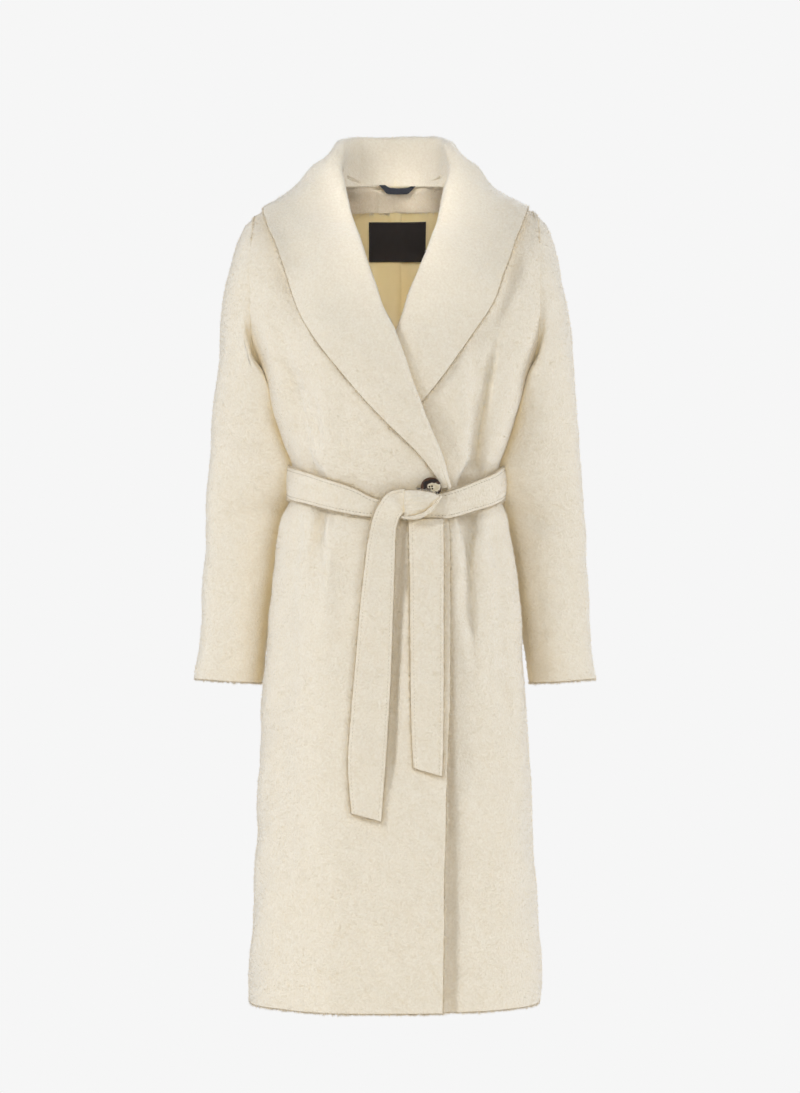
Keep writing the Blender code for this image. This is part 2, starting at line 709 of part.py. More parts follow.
def finish_panel(grid, side, forward):
    """Outer and inner grid of a panel, with its seams mitred so that the next panel can meet them."""
    normals = grid_normals(grid)
    middle = grid.shape[0] // 2, grid.shape[1] // 2
    outward = grid[middle] * np.array([1.0, 1.0, 0.0])
    if np.dot(normals[middle], outward) < 0:
        normals = -normals
    arm_rows = len(ARM_ROWS)
    shift = np.array([0.0, -SEAM_GAP / 2 if forward else SEAM_GAP / 2, 0.0])
    for col, sign in ((0, side),) if forward else ((0, RIGHT), (-1, LEFT)):
        normals[arm_rows - 1:, col] = (sign, 0.0, 0.0)
        grid[arm_rows - 1:, col] += shift
    for col in range(grid.shape[1]):
        x = grid[0, col, 0]
        if abs(x) >= NECK_HALF_WIDTH - 0.5:
            normals[0, col] = SHOULDER_NORMAL * np.array([math.copysign(1.0, x), 1.0, 1.0])
            grid[0, col] += shift
    return grid, grid - normals * CLOTH


def back_panel():
    """Outer and inner grid of the back, from the right armhole and side seam to the left."""
    shares = np.linspace(-1.0, 1.0, BACK_COLUMNS)
    rows = []
    for share in ARM_ROWS:
        arm_x = look_up(ARMHOLE, "share", "back_x", share)
        arm_z = lerp(shoulder_line("back", arm_x), UNDERARM_Z, share)
        arm_angle = math.pi / 2 if share == 1.0 else angle_at("back", arm_x, arm_z)
        row = []
        for part in shares:
            angle = arm_angle * part
            _, z = row_point("back", angle, share)
            row.append(skin("back", angle, z))
        rows.append(row)
    for z in BODY_ROWS:
        rows.append([skin("back", math.pi / 2 * part, z) for part in shares])
    return finish_panel(np.array(rows), 0, forward=False)


# Sleeves

def armhole_loop(front, back, side):
    """The armhole's edge, down the front and up the back, and the way out of it at each of its points."""
    outer_f, inner_f = front
    outer_b, inner_b = back
    col, beside = (0, 1) if side == RIGHT else (-1, -2)
    last = len(ARM_ROWS) - 1
    outer, inner, away = [], [], []

    def leave(grid, row, edge, near):
        along = unit(grid[row + 1, edge] - grid[row - 1, edge])
        out = grid[row, edge] - grid[row, near]
        return unit(out - along * np.dot(out, along))

    for row in range(last + 1):
        if row == 0:
            outer.append((outer_f[0, 0] + outer_b[0, col]) / 2)
            inner.append((inner_f[0, 0] + inner_b[0, col]) / 2)
            away.append(unit(np.array([side, 0.0, SHOULDER_SLOPE])))
        elif row == last:
            outer.append((outer_f[row, 0] + outer_b[row, col]) / 2)
            inner.append((inner_f[row, 0] + inner_b[row, col]) / 2)
            away.append(unit(outer_f[row, 0] - outer_f[row + 1, 0]))
        else:
            outer.append(outer_f[row, 0])
            inner.append(inner_f[row, 0])
            away.append(leave(outer_f, row, 0, 1))
    for row in range(last - 1, 0, -1):
        outer.append(outer_b[row, col])
        inner.append(inner_b[row, col])
        away.append(leave(outer_b, row, col, beside))
    away = np.array(away)
    for _ in range(2):
        away = unit(away * 2 + np.roll(away, 1, axis=0) + np.roll(away, -1, axis=0))
    return np.array(outer), np.array(inner), away


def sleeve(front, back, side):
    """Outer and inner grid of one sleeve. Row 0 lies on the armhole, and the columns run round it."""
    outer, inner, away = armhole_loop(front, back, side)
    half = len(ARM_ROWS) - 1
    steps = np.linalg.norm(np.roll(outer, -1, axis=0) - outer, axis=1)
    down = np.concatenate([[0.0], np.cumsum(steps[:half])])
    up = np.concatenate([[0.0], np.cumsum(steps[half:])])
    turn = np.concatenate([math.pi * down / down[-1], math.pi + math.pi * up[1:-1] / up[-1]])

    def ring(row):
        mid = np.array([(row.outer_x + row.inner_x) / 2 * side, row.mid_y, (row.outer_z + row.inner_z) / 2])
        arm = np.array([(row.outer_x - row.inner_x) / 2 * side, 0.0, (row.outer_z - row.inner_z) / 2])
        deep = np.array([0.0, -row.half_depth, 0.0])
        return mid + np.cos(turn)[:, None] * arm + np.sin(turn)[:, None] * deep

    rings = [ring(row) for row in SLEEVE_RINGS]
    start = outer + away * SEAM_GAP
    span = np.linalg.norm(rings[0] - start, axis=1, keepdims=True)
    along = unit(rings[1] - rings[0])
    grid = [start]
    for share in CAP_SHARES:
        square, cube = share**2, share**3
        leave = (cube - 2 * square + share) * span * CAP_START
        grid.append((2 * cube - 3 * square + 1) * start + leave * away
                    + (3 * square - 2 * cube) * rings[0] + (cube - square) * span * CAP_END * along)
    grid = np.array(grid + rings)
    normals = grid_normals(grid, closed=True)
    centre = grid.mean(axis=1, keepdims=True)
    if (normals[-1] * (grid - centre)[-1]).sum() < 0:
        normals = -normals
    walls = grid - normals * CLOTH
    walls[0] = inner + away * SEAM_GAP
    return grid, walls


# Laying pieces on others

def ground_of(*pieces):
    """A search tree over some pieces, in millimetres."""
    points, faces = [], []
    for piece in pieces:
        start = len(points)
        points.extend(vertex.co * 1000.0 for vertex in piece.data.vertices)
        faces.extend([start + i for i in face.vertices] for face in piece.data.polygons)
    return BVHTree.FromPolygons(points, faces)


def lay_on(grid, ground, need, columns, reach, rounds=3):
    """Moves some columns of a grid out until each point is at least the needed height over the ground."""
    grid = grid.copy()
    for _ in range(rounds):
        normals = outward_normals(grid)
        moves = np.zeros(grid.shape[:2])
        for r in range(grid.shape[0]):
            for c in columns:
                point, out = Vector(grid[r, c]), Vector(normals[r, c])
                hit, facing, _, _ = ground.ray_cast(point + out * reach, -out)
                if hit is None:
                    continue
                height = (point - hit).dot(out)
                wanted = need / max(abs(facing.dot(out)), 0.55)
                moves[r, c] = max(wanted - height, 0.0)
        spread = moves.copy()
        spread[1:-1] = np.maximum(moves[1:-1], (moves[:-2] + moves[2:]) / 2)
        grid += normals * spread[:, :, None]
    return grid


def outward_normals(grid):
    """Normals of the collar's grid, looking out of its fold."""
    normals = grid_normals(grid)
    crest = FOLD_COLUMN
    middle = grid.shape[0] // 2
    hollow = (grid[middle, crest - 2] + grid[middle, crest + 2]) / 2
    if np.dot(normals[middle, crest], grid[middle, crest] - hollow) < 0:
        normals = -normals
    return normals


def front_y(ground, x, z, spread=0.0):
    """The y of whatever is in front at a point, or of the foremost thing close round it."""
    found = []
    turns = [(0.0, 0.0)]
    for part in (0.55, 1.0):
        for a in np.linspace(0.0, 2 * math.pi, 12, endpoint=False):
            turns.append((part * math.cos(a), part * math.sin(a)))
    for dx, dz in turns if spread else turns[:1]:
        start = Vector((x + dx * spread, -600.0, z + dz * spread))
        hit = ground.ray_cast(start, Vector((0.0, 1.0, 0.0)))[0]
        if hit is not None:
            found.append(hit.y)
    return min(found)


# Collar and lapels

FOLD_COLUMN = 5          # the column of the collar's grid on the top of its fold


def collar_line(fold, along, face, radius, inner_end, inner_pull, fall):
    """The points across the collar at one station, from its inner edge over the fold to its outer edge."""
    crest = unit(np.cross(along, face))
    if np.dot(crest, fold - inner_end) < 0:
        crest = -crest
    face = unit(face - along * np.dot(face, along))
    centre = fold - crest * radius
    start = centre - face * radius
    bend = start - crest * inner_pull
    leg = [lerp(lerp(start, bend, s), lerp(bend, inner_end, s), s) for s in (1.0, 0.75, 0.45)]
    turns = np.linspace(0.0, math.pi, 5)
    arc = [centre + radius * (crest * math.sin(a) - face * math.cos(a)) for a in turns]
    return leg + arc + [fall(centre + face * radius, crest, share) for share in FALL_SHARES]


def collar_half(side):
    """The middle surface of one half of the collar, from the middle of the back to the end of the lapel."""
    folds, faces, radii, inner, falls = [], [], [], [], []
    for row in COLLAR_STATIONS:
        folds.append(np.array([row.fold_x * side, row.fold_y, row.fold_z]))
        turn = math.radians(row.face)
        faces.append(np.array([side * math.sin(turn), -math.cos(turn), 0.0]))
        radii.append(row.radius)
        inner.append(np.array([row.inner_x * side, row.inner_y, row.inner_z]))
        edge = np.array([row.edge_x * side, row.edge_y, row.edge_z])
        falls.append(hanging_fall(edge))
    for row in LAPEL_STATIONS:
        edge_x = look_up(FRONT_EDGE, "z", "x", row.roll_z)
        roll_x = edge_x + COLLAR_CLOTH / 2
        middle = front_skin(side, roll_x + row.radius, row.roll_z, -CLOTH / 2)
        folds.append(middle - np.array([side * row.radius, 0.0, 0.0]))
        faces.append(front_normal(side, roll_x + row.radius, row.roll_z))
        radii.append(row.radius)
        back = -(CLOTH + LAYER_GAP + COLLAR_CLOTH / 2 + 0.7)
        inner.append(front_skin(side, roll_x + row.radius + row.inner_leg, row.roll_z - 8.0, back))
        falls.append(lapel_fall(side, row, roll_x + row.radius))
    folds = np.array(folds)
    along = unit(np.gradient(folds, axis=0))
    along[0] = (side, 0.0, 0.0)
    lines = []
    for i in range(len(folds)):
        pull = 22.0 if i < 5 else 10.0
        lines.append(collar_line(folds[i], along[i], faces[i], radii[i], inner[i], pull, falls[i]))
    lines = np.array(lines)
    keys = np.arange(len(lines), dtype=float)
    at = np.linspace(0.0, keys[-1], COLLAR_ROWS)
    grid = np.zeros((COLLAR_ROWS, lines.shape[1], 3))
    for col in range(lines.shape[1]):
        for axis in range(3):
            grid[:, col, axis] = through(keys, lines[:, col, axis], at)
    return grid


def hanging_fall(edge):
    """The fall of the collar round the neck, from the fold to an outer edge, as a curve of one share."""
    def curve(start, crest, share):
        length = np.linalg.norm(edge - start)
        first = start - crest * length * 0.22
        second = edge - unit(edge - first) * length * 0.3
        a, b, c = lerp(start, first, share), lerp(first, second, share), lerp(second, edge, share)
        return lerp(lerp(a, b, share), lerp(b, c, share), share)
    return curve


def lapel_fall(side, row, start_x):
    """The fall of the lapel, which lies on the front: a curve of one share."""
    def curve(start, crest, share):
        x = lerp(start_x, row.edge_x, share)
        z = lerp(row.roll_z, row.edge_z, share)
        lying = front_skin(side, x, z, COLLAR_REST + 2.5 * math.sin(math.pi * share))
        return lerp(start + (lying - start) * share**0.7, lying, float(smoothstep(share / 0.5)))
    return curve


def make_collar(side, ground, own):
    """One half of the shawl collar: its fall laid on the pieces beneath, its leg inside its own panels."""
    grid = collar_half(side)
    grid = lay_on(grid, own, COLLAR_LEG_REST, range(0, FOLD_COLUMN - 1), 13.0)
    grid = lay_on(grid, ground, COLLAR_REST, range(FOLD_COLUMN + 2, grid.shape[1]), 120.0)
    normals = outward_normals(grid)
    grid[0, :, 0] = side * SEAM_GAP / 2
    normals[0, :, 0] = 0.0
    normals[0] = unit(normals[0])
    half = COLLAR_CLOTH / 2
    name = "right_collar" if side == RIGHT else "left_collar"
    return solid_from_faces(name, grid + normals * half, grid - normals * half, WOOL)


# Inside the back of the neck

def inner_back(back, x, z):
    """A point on the inside of the back panel and its direction into the coat, from the panel's own grid."""
    walls = back[1]
    best = None
    for row in range(walls.shape[0] - 1):
        for col in range(walls.shape[1] - 1):
            if abs(walls[row, col, 0] - x) > 40.0 or abs(walls[row, col, 2] - z) > 120.0:
                continue
            corners = [walls[row, col], walls[row, col + 1], walls[row + 1, col + 1], walls[row + 1, col]]
            for tri in ((0, 1, 2), (0, 2, 3)):
                a, b, c = (corners[i] for i in tri)
                area = (b[0] - a[0]) * (c[2] - a[2]) - (c[0] - a[0]) * (b[2] - a[2])
                if abs(area) < 1e-6:
                    continue
                v = ((x - a[0]) * (c[2] - a[2]) - (c[0] - a[0]) * (z - a[2])) / area
                w = ((b[0] - a[0]) * (z - a[2]) - (x - a[0]) * (b[2] - a[2])) / area
                if v >= -0.08 and w >= -0.08 and v + w <= 1.08:
                    point = a + (b - a) * v + (c - a) * w
                    if best is None or point[1] < best[1]:
                        best = point
    return best


def inside_sheet(back, places, depth):
    """A grid of points inside the back panel, each moved into the coat by a depth, and the way they moved."""
    grid = np.array([[inner_back(back, x, z) for x, z in row] for row in places])
    normals = grid_normals(grid)
    if normals[len(grid) // 2, grid.shape[1] // 2, 1] > 0:
        normals = -normals
    normals[:, :, 2] = 0.0
    normals = unit(normals)
    return normals, grid + normals * depth


def make_facing_and_lining(back):
    """The facing of wool at the back of the neck and the satin lining below it."""
    xs = np.linspace(-FACING_HALF_WIDTH, FACING_HALF_WIDTH, 15)
    places = [[(x, lerp(shoulder_line("back", x) - FACING_DROP, FACING_BOTTOM_Z, share)) for x in xs]
              for share in np.linspace(0.0, 1.0, 5)]
    normals, near = inside_sheet(back, places, LAYER_GAP + 0.5)
    solid_from_faces("back_neck_facing", near, near + normals * CLOTH * 0.75, WOOL)
    across = np.concatenate([np.linspace(-1.0, -0.12, 9), (-0.05, 0.0, 0.05), np.linspace(0.12, 1.0, 9)])
    places = [[(share * row.half_width, row.z) for share in across] for row in LINING_ROWS]
    normals, near = inside_sheet(back, places, LAYER_GAP + 1.2)
    pleat = LINING_PLEAT * np.exp(-((across / 0.07) ** 2))
    near = near + normals * pleat[None, :, None]
    solid_from_faces("back_lining", near, near + normals * LINING_CLOTH, SATIN)
    return ground_of(bpy.data.objects["back_lining"], bpy.data.objects["back_neck_facing"])


def make_label_and_loop(ground, collars):
    """The bare label on the lining and the loop the coat is hung by, seen through the open neck."""
    xs = np.linspace(LABEL_X - LABEL_WIDTH / 2, LABEL_X + LABEL_WIDTH / 2, 9)
    zs = np.linspace(LABEL_TOP_Z, LABEL_TOP_Z - LABEL_HEIGHT, 5)
    back = np.array([[(x, front_y(ground, x, z, 3.0) - 0.4, z) for x in xs] for z in zs])
    solid_from_faces("neck_label", back, back - np.array([0.0, LABEL_THICKNESS, 0.0]), LABEL_WEAVE)
    rows = []
    for share in np.linspace(0.0, 1.0, 4):
        half = lerp(LOOP_TOP_WIDTH, LOOP_BOTTOM_WIDTH, share) / 2
        z = lerp(LOOP_TOP_Z, LOOP_TOP_Z - LOOP_DROP, share)
        rows.append([(LABEL_X + half * s, z) for s in np.linspace(-1.0, 1.0, 7)])
    both = ground_of(bpy.data.objects["back_neck_facing"], *collars)
    back = np.array([[(x, front_y(both, x, z, 1.0) - 0.4, z) for x, z in row] for row in rows])
    solid_from_faces("hanger_loop", back, back - np.array([0.0, LOOP_THICKNESS, 0.0]), LOOP_SATIN)


# Belt and button

def belt_radius(ground, bearing, low, high):
    """How far the pieces beneath reach from the belt's middle in one direction, between two heights."""
    out = Vector((math.sin(bearing), -math.cos(bearing), 0.0))
    reach = 0.0
    for z in np.linspace(low, high, 7):
        middle = Vector((0.0, BELT_MIDDLE_Y, z))
        hit = ground.ray_cast(middle + out * 200.0, -out)[0]
        if hit is not None:
            reach = max(reach, (hit - middle).length)
    return reach


def convex_reach(bearings, reaches):
    """The reach in each direction of the tightest loop round all the points, as a tight belt has it."""
    flat = np.stack([np.sin(bearings) * reaches, -np.cos(bearings) * reaches], axis=1)
    wrapped = np.zeros(len(bearings))
    for i, bearing in enumerate(bearings):
        out = np.array([math.sin(bearing), -math.cos(bearing)])
        side = np.array([out[1], -out[0]])
        best = reaches[i]
        ahead, aside = flat @ out, flat @ side
        for j in np.where(aside > 0)[0]:
            for k in np.where(aside < 0)[0]:
                share = aside[j] / (aside[j] - aside[k])
                best = max(best, lerp(ahead[j], ahead[k], share))
        wrapped[i] = best
    return wrapped


def make_belt(ground):
    """The belt's band round the waist."""
    fine = np.linspace(-math.pi, math.pi, 181)[:-1]
    level = [look_up(BELT_POINTS, "bearing", "z", math.degrees(b)) for b in fine]
    width = [look_up(BELT_POINTS, "bearing", "width", math.degrees(b)) for b in fine]
    reach = []
    for bearing, z, wide in zip(fine, level, width):
        half = wide / 2 + BELT_FEEL
        reach.append(belt_radius(ground, bearing, z - half, z + half))
    wrapped = convex_reach(fine, np.array(reach) + LAYER_GAP + 0.8)
    bearings = np.linspace(-math.pi, math.pi, BELT_COLUMNS + 1)[:-1]
    near, far = [], []
    for share in np.linspace(1.0, -1.0, BELT_ROWS):
        near_row, far_row = [], []
        for bearing in bearings:
            z = look_up(BELT_POINTS, "bearing", "z", math.degrees(bearing))
            half = look_up(BELT_POINTS, "bearing", "width", math.degrees(bearing)) / 2
            radius = float(np.interp(bearing, fine, wrapped, period=2 * math.pi)) + 0.4
            out = np.array([math.sin(bearing), -math.cos(bearing), 0.0])
            foot = np.array([0.0, BELT_MIDDLE_Y, z + half * share])
            near_row.append(foot + out * radius)
            far_row.append(foot + out * (radius + BELT_CLOTH - 1.0 * share**2))
        near.append(near_row)
        far.append(far_row)
    return solid_from_faces("belt_band", np.array(far), np.array(near), WOOL, closed=True)


def make_knot(ground):
    """The wrap of the tie, a puffed wedge in front of the band."""
    back, front = [], []
    for row in KNOT_ROWS:
        back_line, front_line = [], []
        for share in np.linspace(0.0, 1.0, KNOT_COLUMNS):
            x = lerp(row.top_x, row.bottom_x, share)
            z = lerp(row.top_z, row.bottom_z, share)
            y = front_y(ground, x, z, 8.0) - 0.8
            back_line.append((x, y, z))
            front_line.append((x, y - 3.0 - row.bulge * math.sin(math.pi * share) ** 0.6, z))
        back.append(back_line)
        front.append(front_line)
    back, front = np.array(back), np.array(front)
    level = back[:, :, 1].min()
    front[:, :, 1] = level + (front - back)[:, :, 1]
    return solid_from_faces("belt_knot", front, back, WOOL)


def make_tail(name, table, ground, rows):
    """One hanging end of the belt."""
    keys = np.arange(len(table), dtype=float)
    back = []
    for at in np.linspace(0.0, keys[-1], rows):
        place = {part: float(through(keys, column(table, part), at)) for part in TailRow._fields}
        line = []
        for share in np.linspace(0.0, 1.0, TAIL_COLUMNS):
            x = lerp(place["left_x"], place["right_x"], share)
            z = lerp(place["left_z"], place["right_z"], share)
            line.append((x, front_y(ground, x, z, 5.0) - place["off"], z))
        level = min(point[1] for point in line)
        back.append([(x, level * 0.6 + y * 0.4, z) for x, y, z in line])
    back = np.array(back)
    back[1:-1, :, 1] = (back[:-2, :, 1] + 2 * back[1:-1, :, 1] + back[2:, :, 1]) / 4
    return solid_from_faces(name, back - np.array([0.0, BELT_CLOTH, 0.0]), back, WOOL)


def make_button(ground):
    """The round button with a hollow middle, sewn on the front."""
    level = front_y(ground, BUTTON_X, BUTTON_Z, BUTTON_RADIUS) - 0.6
    thick = BUTTON_THICKNESS
    profile = (
        (0.0, 0.0), (BUTTON_RADIUS - 1.5, 0.0), (BUTTON_RADIUS, 1.2), (BUTTON_RADIUS, thick - 1.0),
        (BUTTON_RADIUS - 1.2, thick), (BUTTON_RADIUS - 3.4, thick), (BUTTON_RADIUS - 5.0, thick - 1.2),
        (0.0, thick - 1.4),
    )
    points, faces = [(BUTTON_X, level, BUTTON_Z)], []
    turns = np.linspace(0.0, 2 * math.pi, BUTTON_SIDES, endpoint=False)
    for radius, height in profile[1:-1]:
        for a in turns:
            points.append((BUTTON_X + radius * math.cos(a), level - height, BUTTON_Z + radius * math.sin(a)))
    points.append((BUTTON_X, level - profile[-1][1], BUTTON_Z))
    top = len(points) - 1
    for i in range(BUTTON_SIDES):
        after = (i + 1) % BUTTON_SIDES
        faces.append([0, 1 + i, 1 + after])
        for ring in range(len(profile) - 3):
            near, far = 1 + ring * BUTTON_SIDES, 1 + (ring + 1) * BUTTON_SIDES
            faces.append([near + i, far + i, far + after, near + after])
        last = 1 + (len(profile) - 3) * BUTTON_SIDES
        faces.append([last + i, top, last + after])
    if signed_volume(np.array(points), faces) < 0:
        faces = [face[::-1] for face in faces]
    return make_object("button", points, faces, HORN)


# Clearing the scene and building

def clear_scene():
    """Removes what the file holds before the coat is made."""
    for old in list(bpy.data.objects):
        bpy.data.objects.remove(old)


def build():
    """Makes every piece of the coat, from the panels out."""
    clear_scene()
    right, left, back = front_panel(RIGHT), front_panel(LEFT), back_panel()
    panels = [
        solid_from_faces("right_front", *right, WOOL),
        solid_from_faces("left_front", *left, WOOL),
        solid_from_faces("back", *back, WOOL),
        solid_from_faces("right_sleeve", *sleeve(right, back, RIGHT), WOOL, closed=True),
        solid_from_faces("left_sleeve", *sleeve(left, back, LEFT), WOOL, closed=True),
    ]
    collars = [make_collar(RIGHT, ground_of(panels[0], *panels[2:]), ground_of(panels[0], panels[2])),
               make_collar(LEFT, ground_of(*panels[1:]), ground_of(panels[1], panels[2]))]
    make_label_and_loop(make_facing_and_lining(back), collars)
    button = make_button(ground_of(*panels[:2], *collars))
    band = make_belt(ground_of(*panels[:3]))
    knot = make_knot(ground_of(*panels[:2], band, button))
    make_tail("belt_tail_short", SHORT_TAIL, ground_of(*panels[:2]), 12)
    make_tail("belt_tail_long", LONG_TAIL, ground_of(*panels[:2], band), 20)


build()
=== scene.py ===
"""Looks of a cream wool wrap coat with a shawl collar and a tied belt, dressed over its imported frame.

Lengths are metres, in the frame's own axes: +X is the wearer's left, the front faces -Y, +Z is up and
the origin lies between the shoulders. Every cloth piece is read off its own node as a wall, that is an
outer and an inner sheet of rows and columns. The wall is drawn again with finer rows, rounded edges
and soft creases, and then the deep pile of the wool is grown on it as short leaning tufts.
"""

import logging
import math
from collections import defaultdict
from dataclasses import dataclass, field
from enum import Enum

import bpy
import numpy as np
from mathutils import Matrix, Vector
from mathutils.bvhtree import BVHTree


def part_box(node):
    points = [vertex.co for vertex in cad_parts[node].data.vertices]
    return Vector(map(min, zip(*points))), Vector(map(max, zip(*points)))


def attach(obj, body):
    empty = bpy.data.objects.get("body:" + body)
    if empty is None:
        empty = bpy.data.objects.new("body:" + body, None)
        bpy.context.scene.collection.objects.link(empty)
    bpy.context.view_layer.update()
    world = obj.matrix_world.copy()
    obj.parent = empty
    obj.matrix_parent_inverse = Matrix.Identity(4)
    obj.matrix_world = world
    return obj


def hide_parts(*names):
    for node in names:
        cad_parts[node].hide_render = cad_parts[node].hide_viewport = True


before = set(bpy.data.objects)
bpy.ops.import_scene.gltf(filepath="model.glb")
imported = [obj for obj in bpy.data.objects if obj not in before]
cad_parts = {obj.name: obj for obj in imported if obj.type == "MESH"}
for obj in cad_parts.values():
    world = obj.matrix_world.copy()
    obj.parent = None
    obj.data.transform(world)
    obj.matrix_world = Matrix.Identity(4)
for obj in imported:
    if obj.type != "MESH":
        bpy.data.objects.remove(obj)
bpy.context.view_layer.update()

log = logging.getLogger("coat")

Array = np.ndarray
Material = bpy.types.Material
Object = bpy.types.Object
Socket = bpy.types.NodeSocket
Pair = tuple[float, float]
Path = tuple[Pair, ...]
Triple = tuple[float, float, float]

MM = 0.001
BODY = "root"

# How deep the pile stands on the cloth, and how finely the cloth is drawn
PILE_DEPTH = 1.2 * MM
PANEL_SPACING = 6.8 * MM
FOLD_SPACING = 3.2 * MM
COLLAR_SPACING = 4.4 * MM
BELT_SPACING = 2.6 * MM
LINING_SPACING = 2.6 * MM
SEAM_CLOSING = 0.7 * MM
ROUND_STEPS = (0.0, 0.35 * MM, 0.9 * MM, 1.7 * MM, 2.8 * MM)
LEAST_THICKNESS = 0.3 * MM

# A side counts as sewn where this share of it has another piece within reach of it
SEAM_REACH = 4.5 * MM
SEWN_SHARE = 0.6
SEWN_MARGIN = 20.0 * MM

# Reading a node: how exactly its points meet, and how many edges are tried as the start of a rim
MEETING_DECIMALS = 6
RIM_TRIES = 400
FAR_OFF = 1e9


class Shown(Enum):
    """Which of a wall's two sheets is the face that shows."""

    OUTSIDE = "outside"
    FORWARD = "forward"


class Facing(Enum):
    """The side of the coat that a crease lies on."""

    FRONT = -1.0
    BACK = 1.0


# Small geometry helpers

def smoothstep(value: Array) -> Array:
    """Runs softly from 0 to 1 as the value does."""
    value = np.clip(value, 0.0, 1.0)
    return value * value * (3.0 - 2.0 * value)


def unit(vectors: Array) -> Array:
    """The same directions, each of length 1."""
    return vectors / np.maximum(np.linalg.norm(vectors, axis=-1, keepdims=True), 1e-12)


def spline(keys: Array, values: Array, at: Array) -> Array:
    """A smooth curve through rows of values.

    Args:
        keys: where each value lies along the curve, growing.
        values: one row for each key.
        at: where the curve is read.

    Returns:
        One row for each place in at.
    """
    step = np.diff(keys)
    wide = step.reshape(-1, *[1] * (values.ndim - 1))
    rise = np.diff(values, axis=0) / wide
    slope = np.empty_like(values)
    slope[1:-1] = (wide[1:] * rise[:-1] + wide[:-1] * rise[1:]) / (wide[1:] + wide[:-1])
    slope[0] = 2.0 * rise[0] - slope[1] if len(keys) > 2 else rise[0]
    slope[-1] = 2.0 * rise[-1] - slope[-2] if len(keys) > 2 else rise[-1]
    cell = np.clip(np.searchsorted(keys, at, side="right") - 1, 0, len(keys) - 2)
    size = step[cell]
    part = ((at - keys[cell]) / size).reshape(-1, *[1] * (values.ndim - 1))
    size = size.reshape(-1, *[1] * (values.ndim - 1))
    square, cube = part**2, part**3
    return (
        (2 * cube - 3 * square + 1) * values[cell]
        + (cube - 2 * square + part) * size * slope[cell]
        + (3 * square - 2 * cube) * values[cell + 1]
        + (cube - square) * size * slope[cell + 1]
    )


def line_length(points: Array) -> Array:
    """The length along a line of points, from 0 at the first."""
    return np.concatenate([[0.0], np.cumsum(np.linalg.norm(np.diff(points, axis=0), axis=1))])


def joined_rings(grid: Array) -> Array:
    """A grid whose rows are rings, with each ring's first column repeated as its last."""
    return np.concatenate([grid, grid[:, :1]], axis=1)


def running_length(grid: Array, axis: int) -> Array:
    """Mean length along one axis of a grid of points, from 0 at its first point."""
    steps = np.linalg.norm(np.diff(grid, axis=axis), axis=-1).mean(axis=1 - axis)
    return np.concatenate([[0.0], np.cumsum(steps)])


def stations(length: float, spacing: float, open_ends: bool) -> Array:
    """Places along a length, at about one spacing, and closer near its ends where they are rounded.

    Args:
        length: the whole length.
        spacing: about how far apart the places lie.
        open_ends: whether its two ends are cut edges, which are rounded.

    Returns:
        The places, in rising order.
    """
    if not open_ends:
        return np.linspace(0.0, length, max(8, round(length / spacing)) + 1)
    ends = np.array(ROUND_STEPS)
    first, last = ends[-1], length - ends[-1]
    inner = np.linspace(first, last, max(2, round((last - first) / spacing)) + 1)
    return np.concatenate([ends[:-1], inner, length - ends[-2::-1]])


def grid_normals(grid: Array, closed: bool) -> Array:
    """Directions across a grid of points, from the neighbours of each. Closed joins its columns.

    Args:
        grid: rows and columns of points.
        closed: whether the last column meets the first.

    Returns:
        One direction for each point, of length one.
    """
    down = np.gradient(grid, axis=0)
    if closed:
        body = grid[:, :-1]
        across = joined_rings(np.roll(body, -1, axis=1) - np.roll(body, 1, axis=1))
    else:
        across = np.gradient(grid, axis=1)
    return unit(np.cross(across, down))


@dataclass(frozen=True)
class Unevenness:
    """A gentle random swell, the same at one place for every piece, made of a few crossing waves."""

    wavelength: float
    height: float
    seed: int
    waves: int = 9

    def at(self, points: Array) -> Array:
        """The swell's height at each point.

        Args:
            points: the points.

        Returns:
            One height for each point.
        """
        rng = np.random.default_rng(self.seed)
        total = np.zeros(points.shape[:-1])
        for _ in range(self.waves):
            heading = unit(rng.normal(size=3))
            reach = 2.0 * math.pi / (self.wavelength * rng.uniform(0.7, 1.5))
            total += np.sin(points @ heading * reach + rng.uniform(0.0, 2.0 * math.pi))
        return total * self.height / math.sqrt(self.waves / 2.0)


# Reading a node back as a wall of cloth

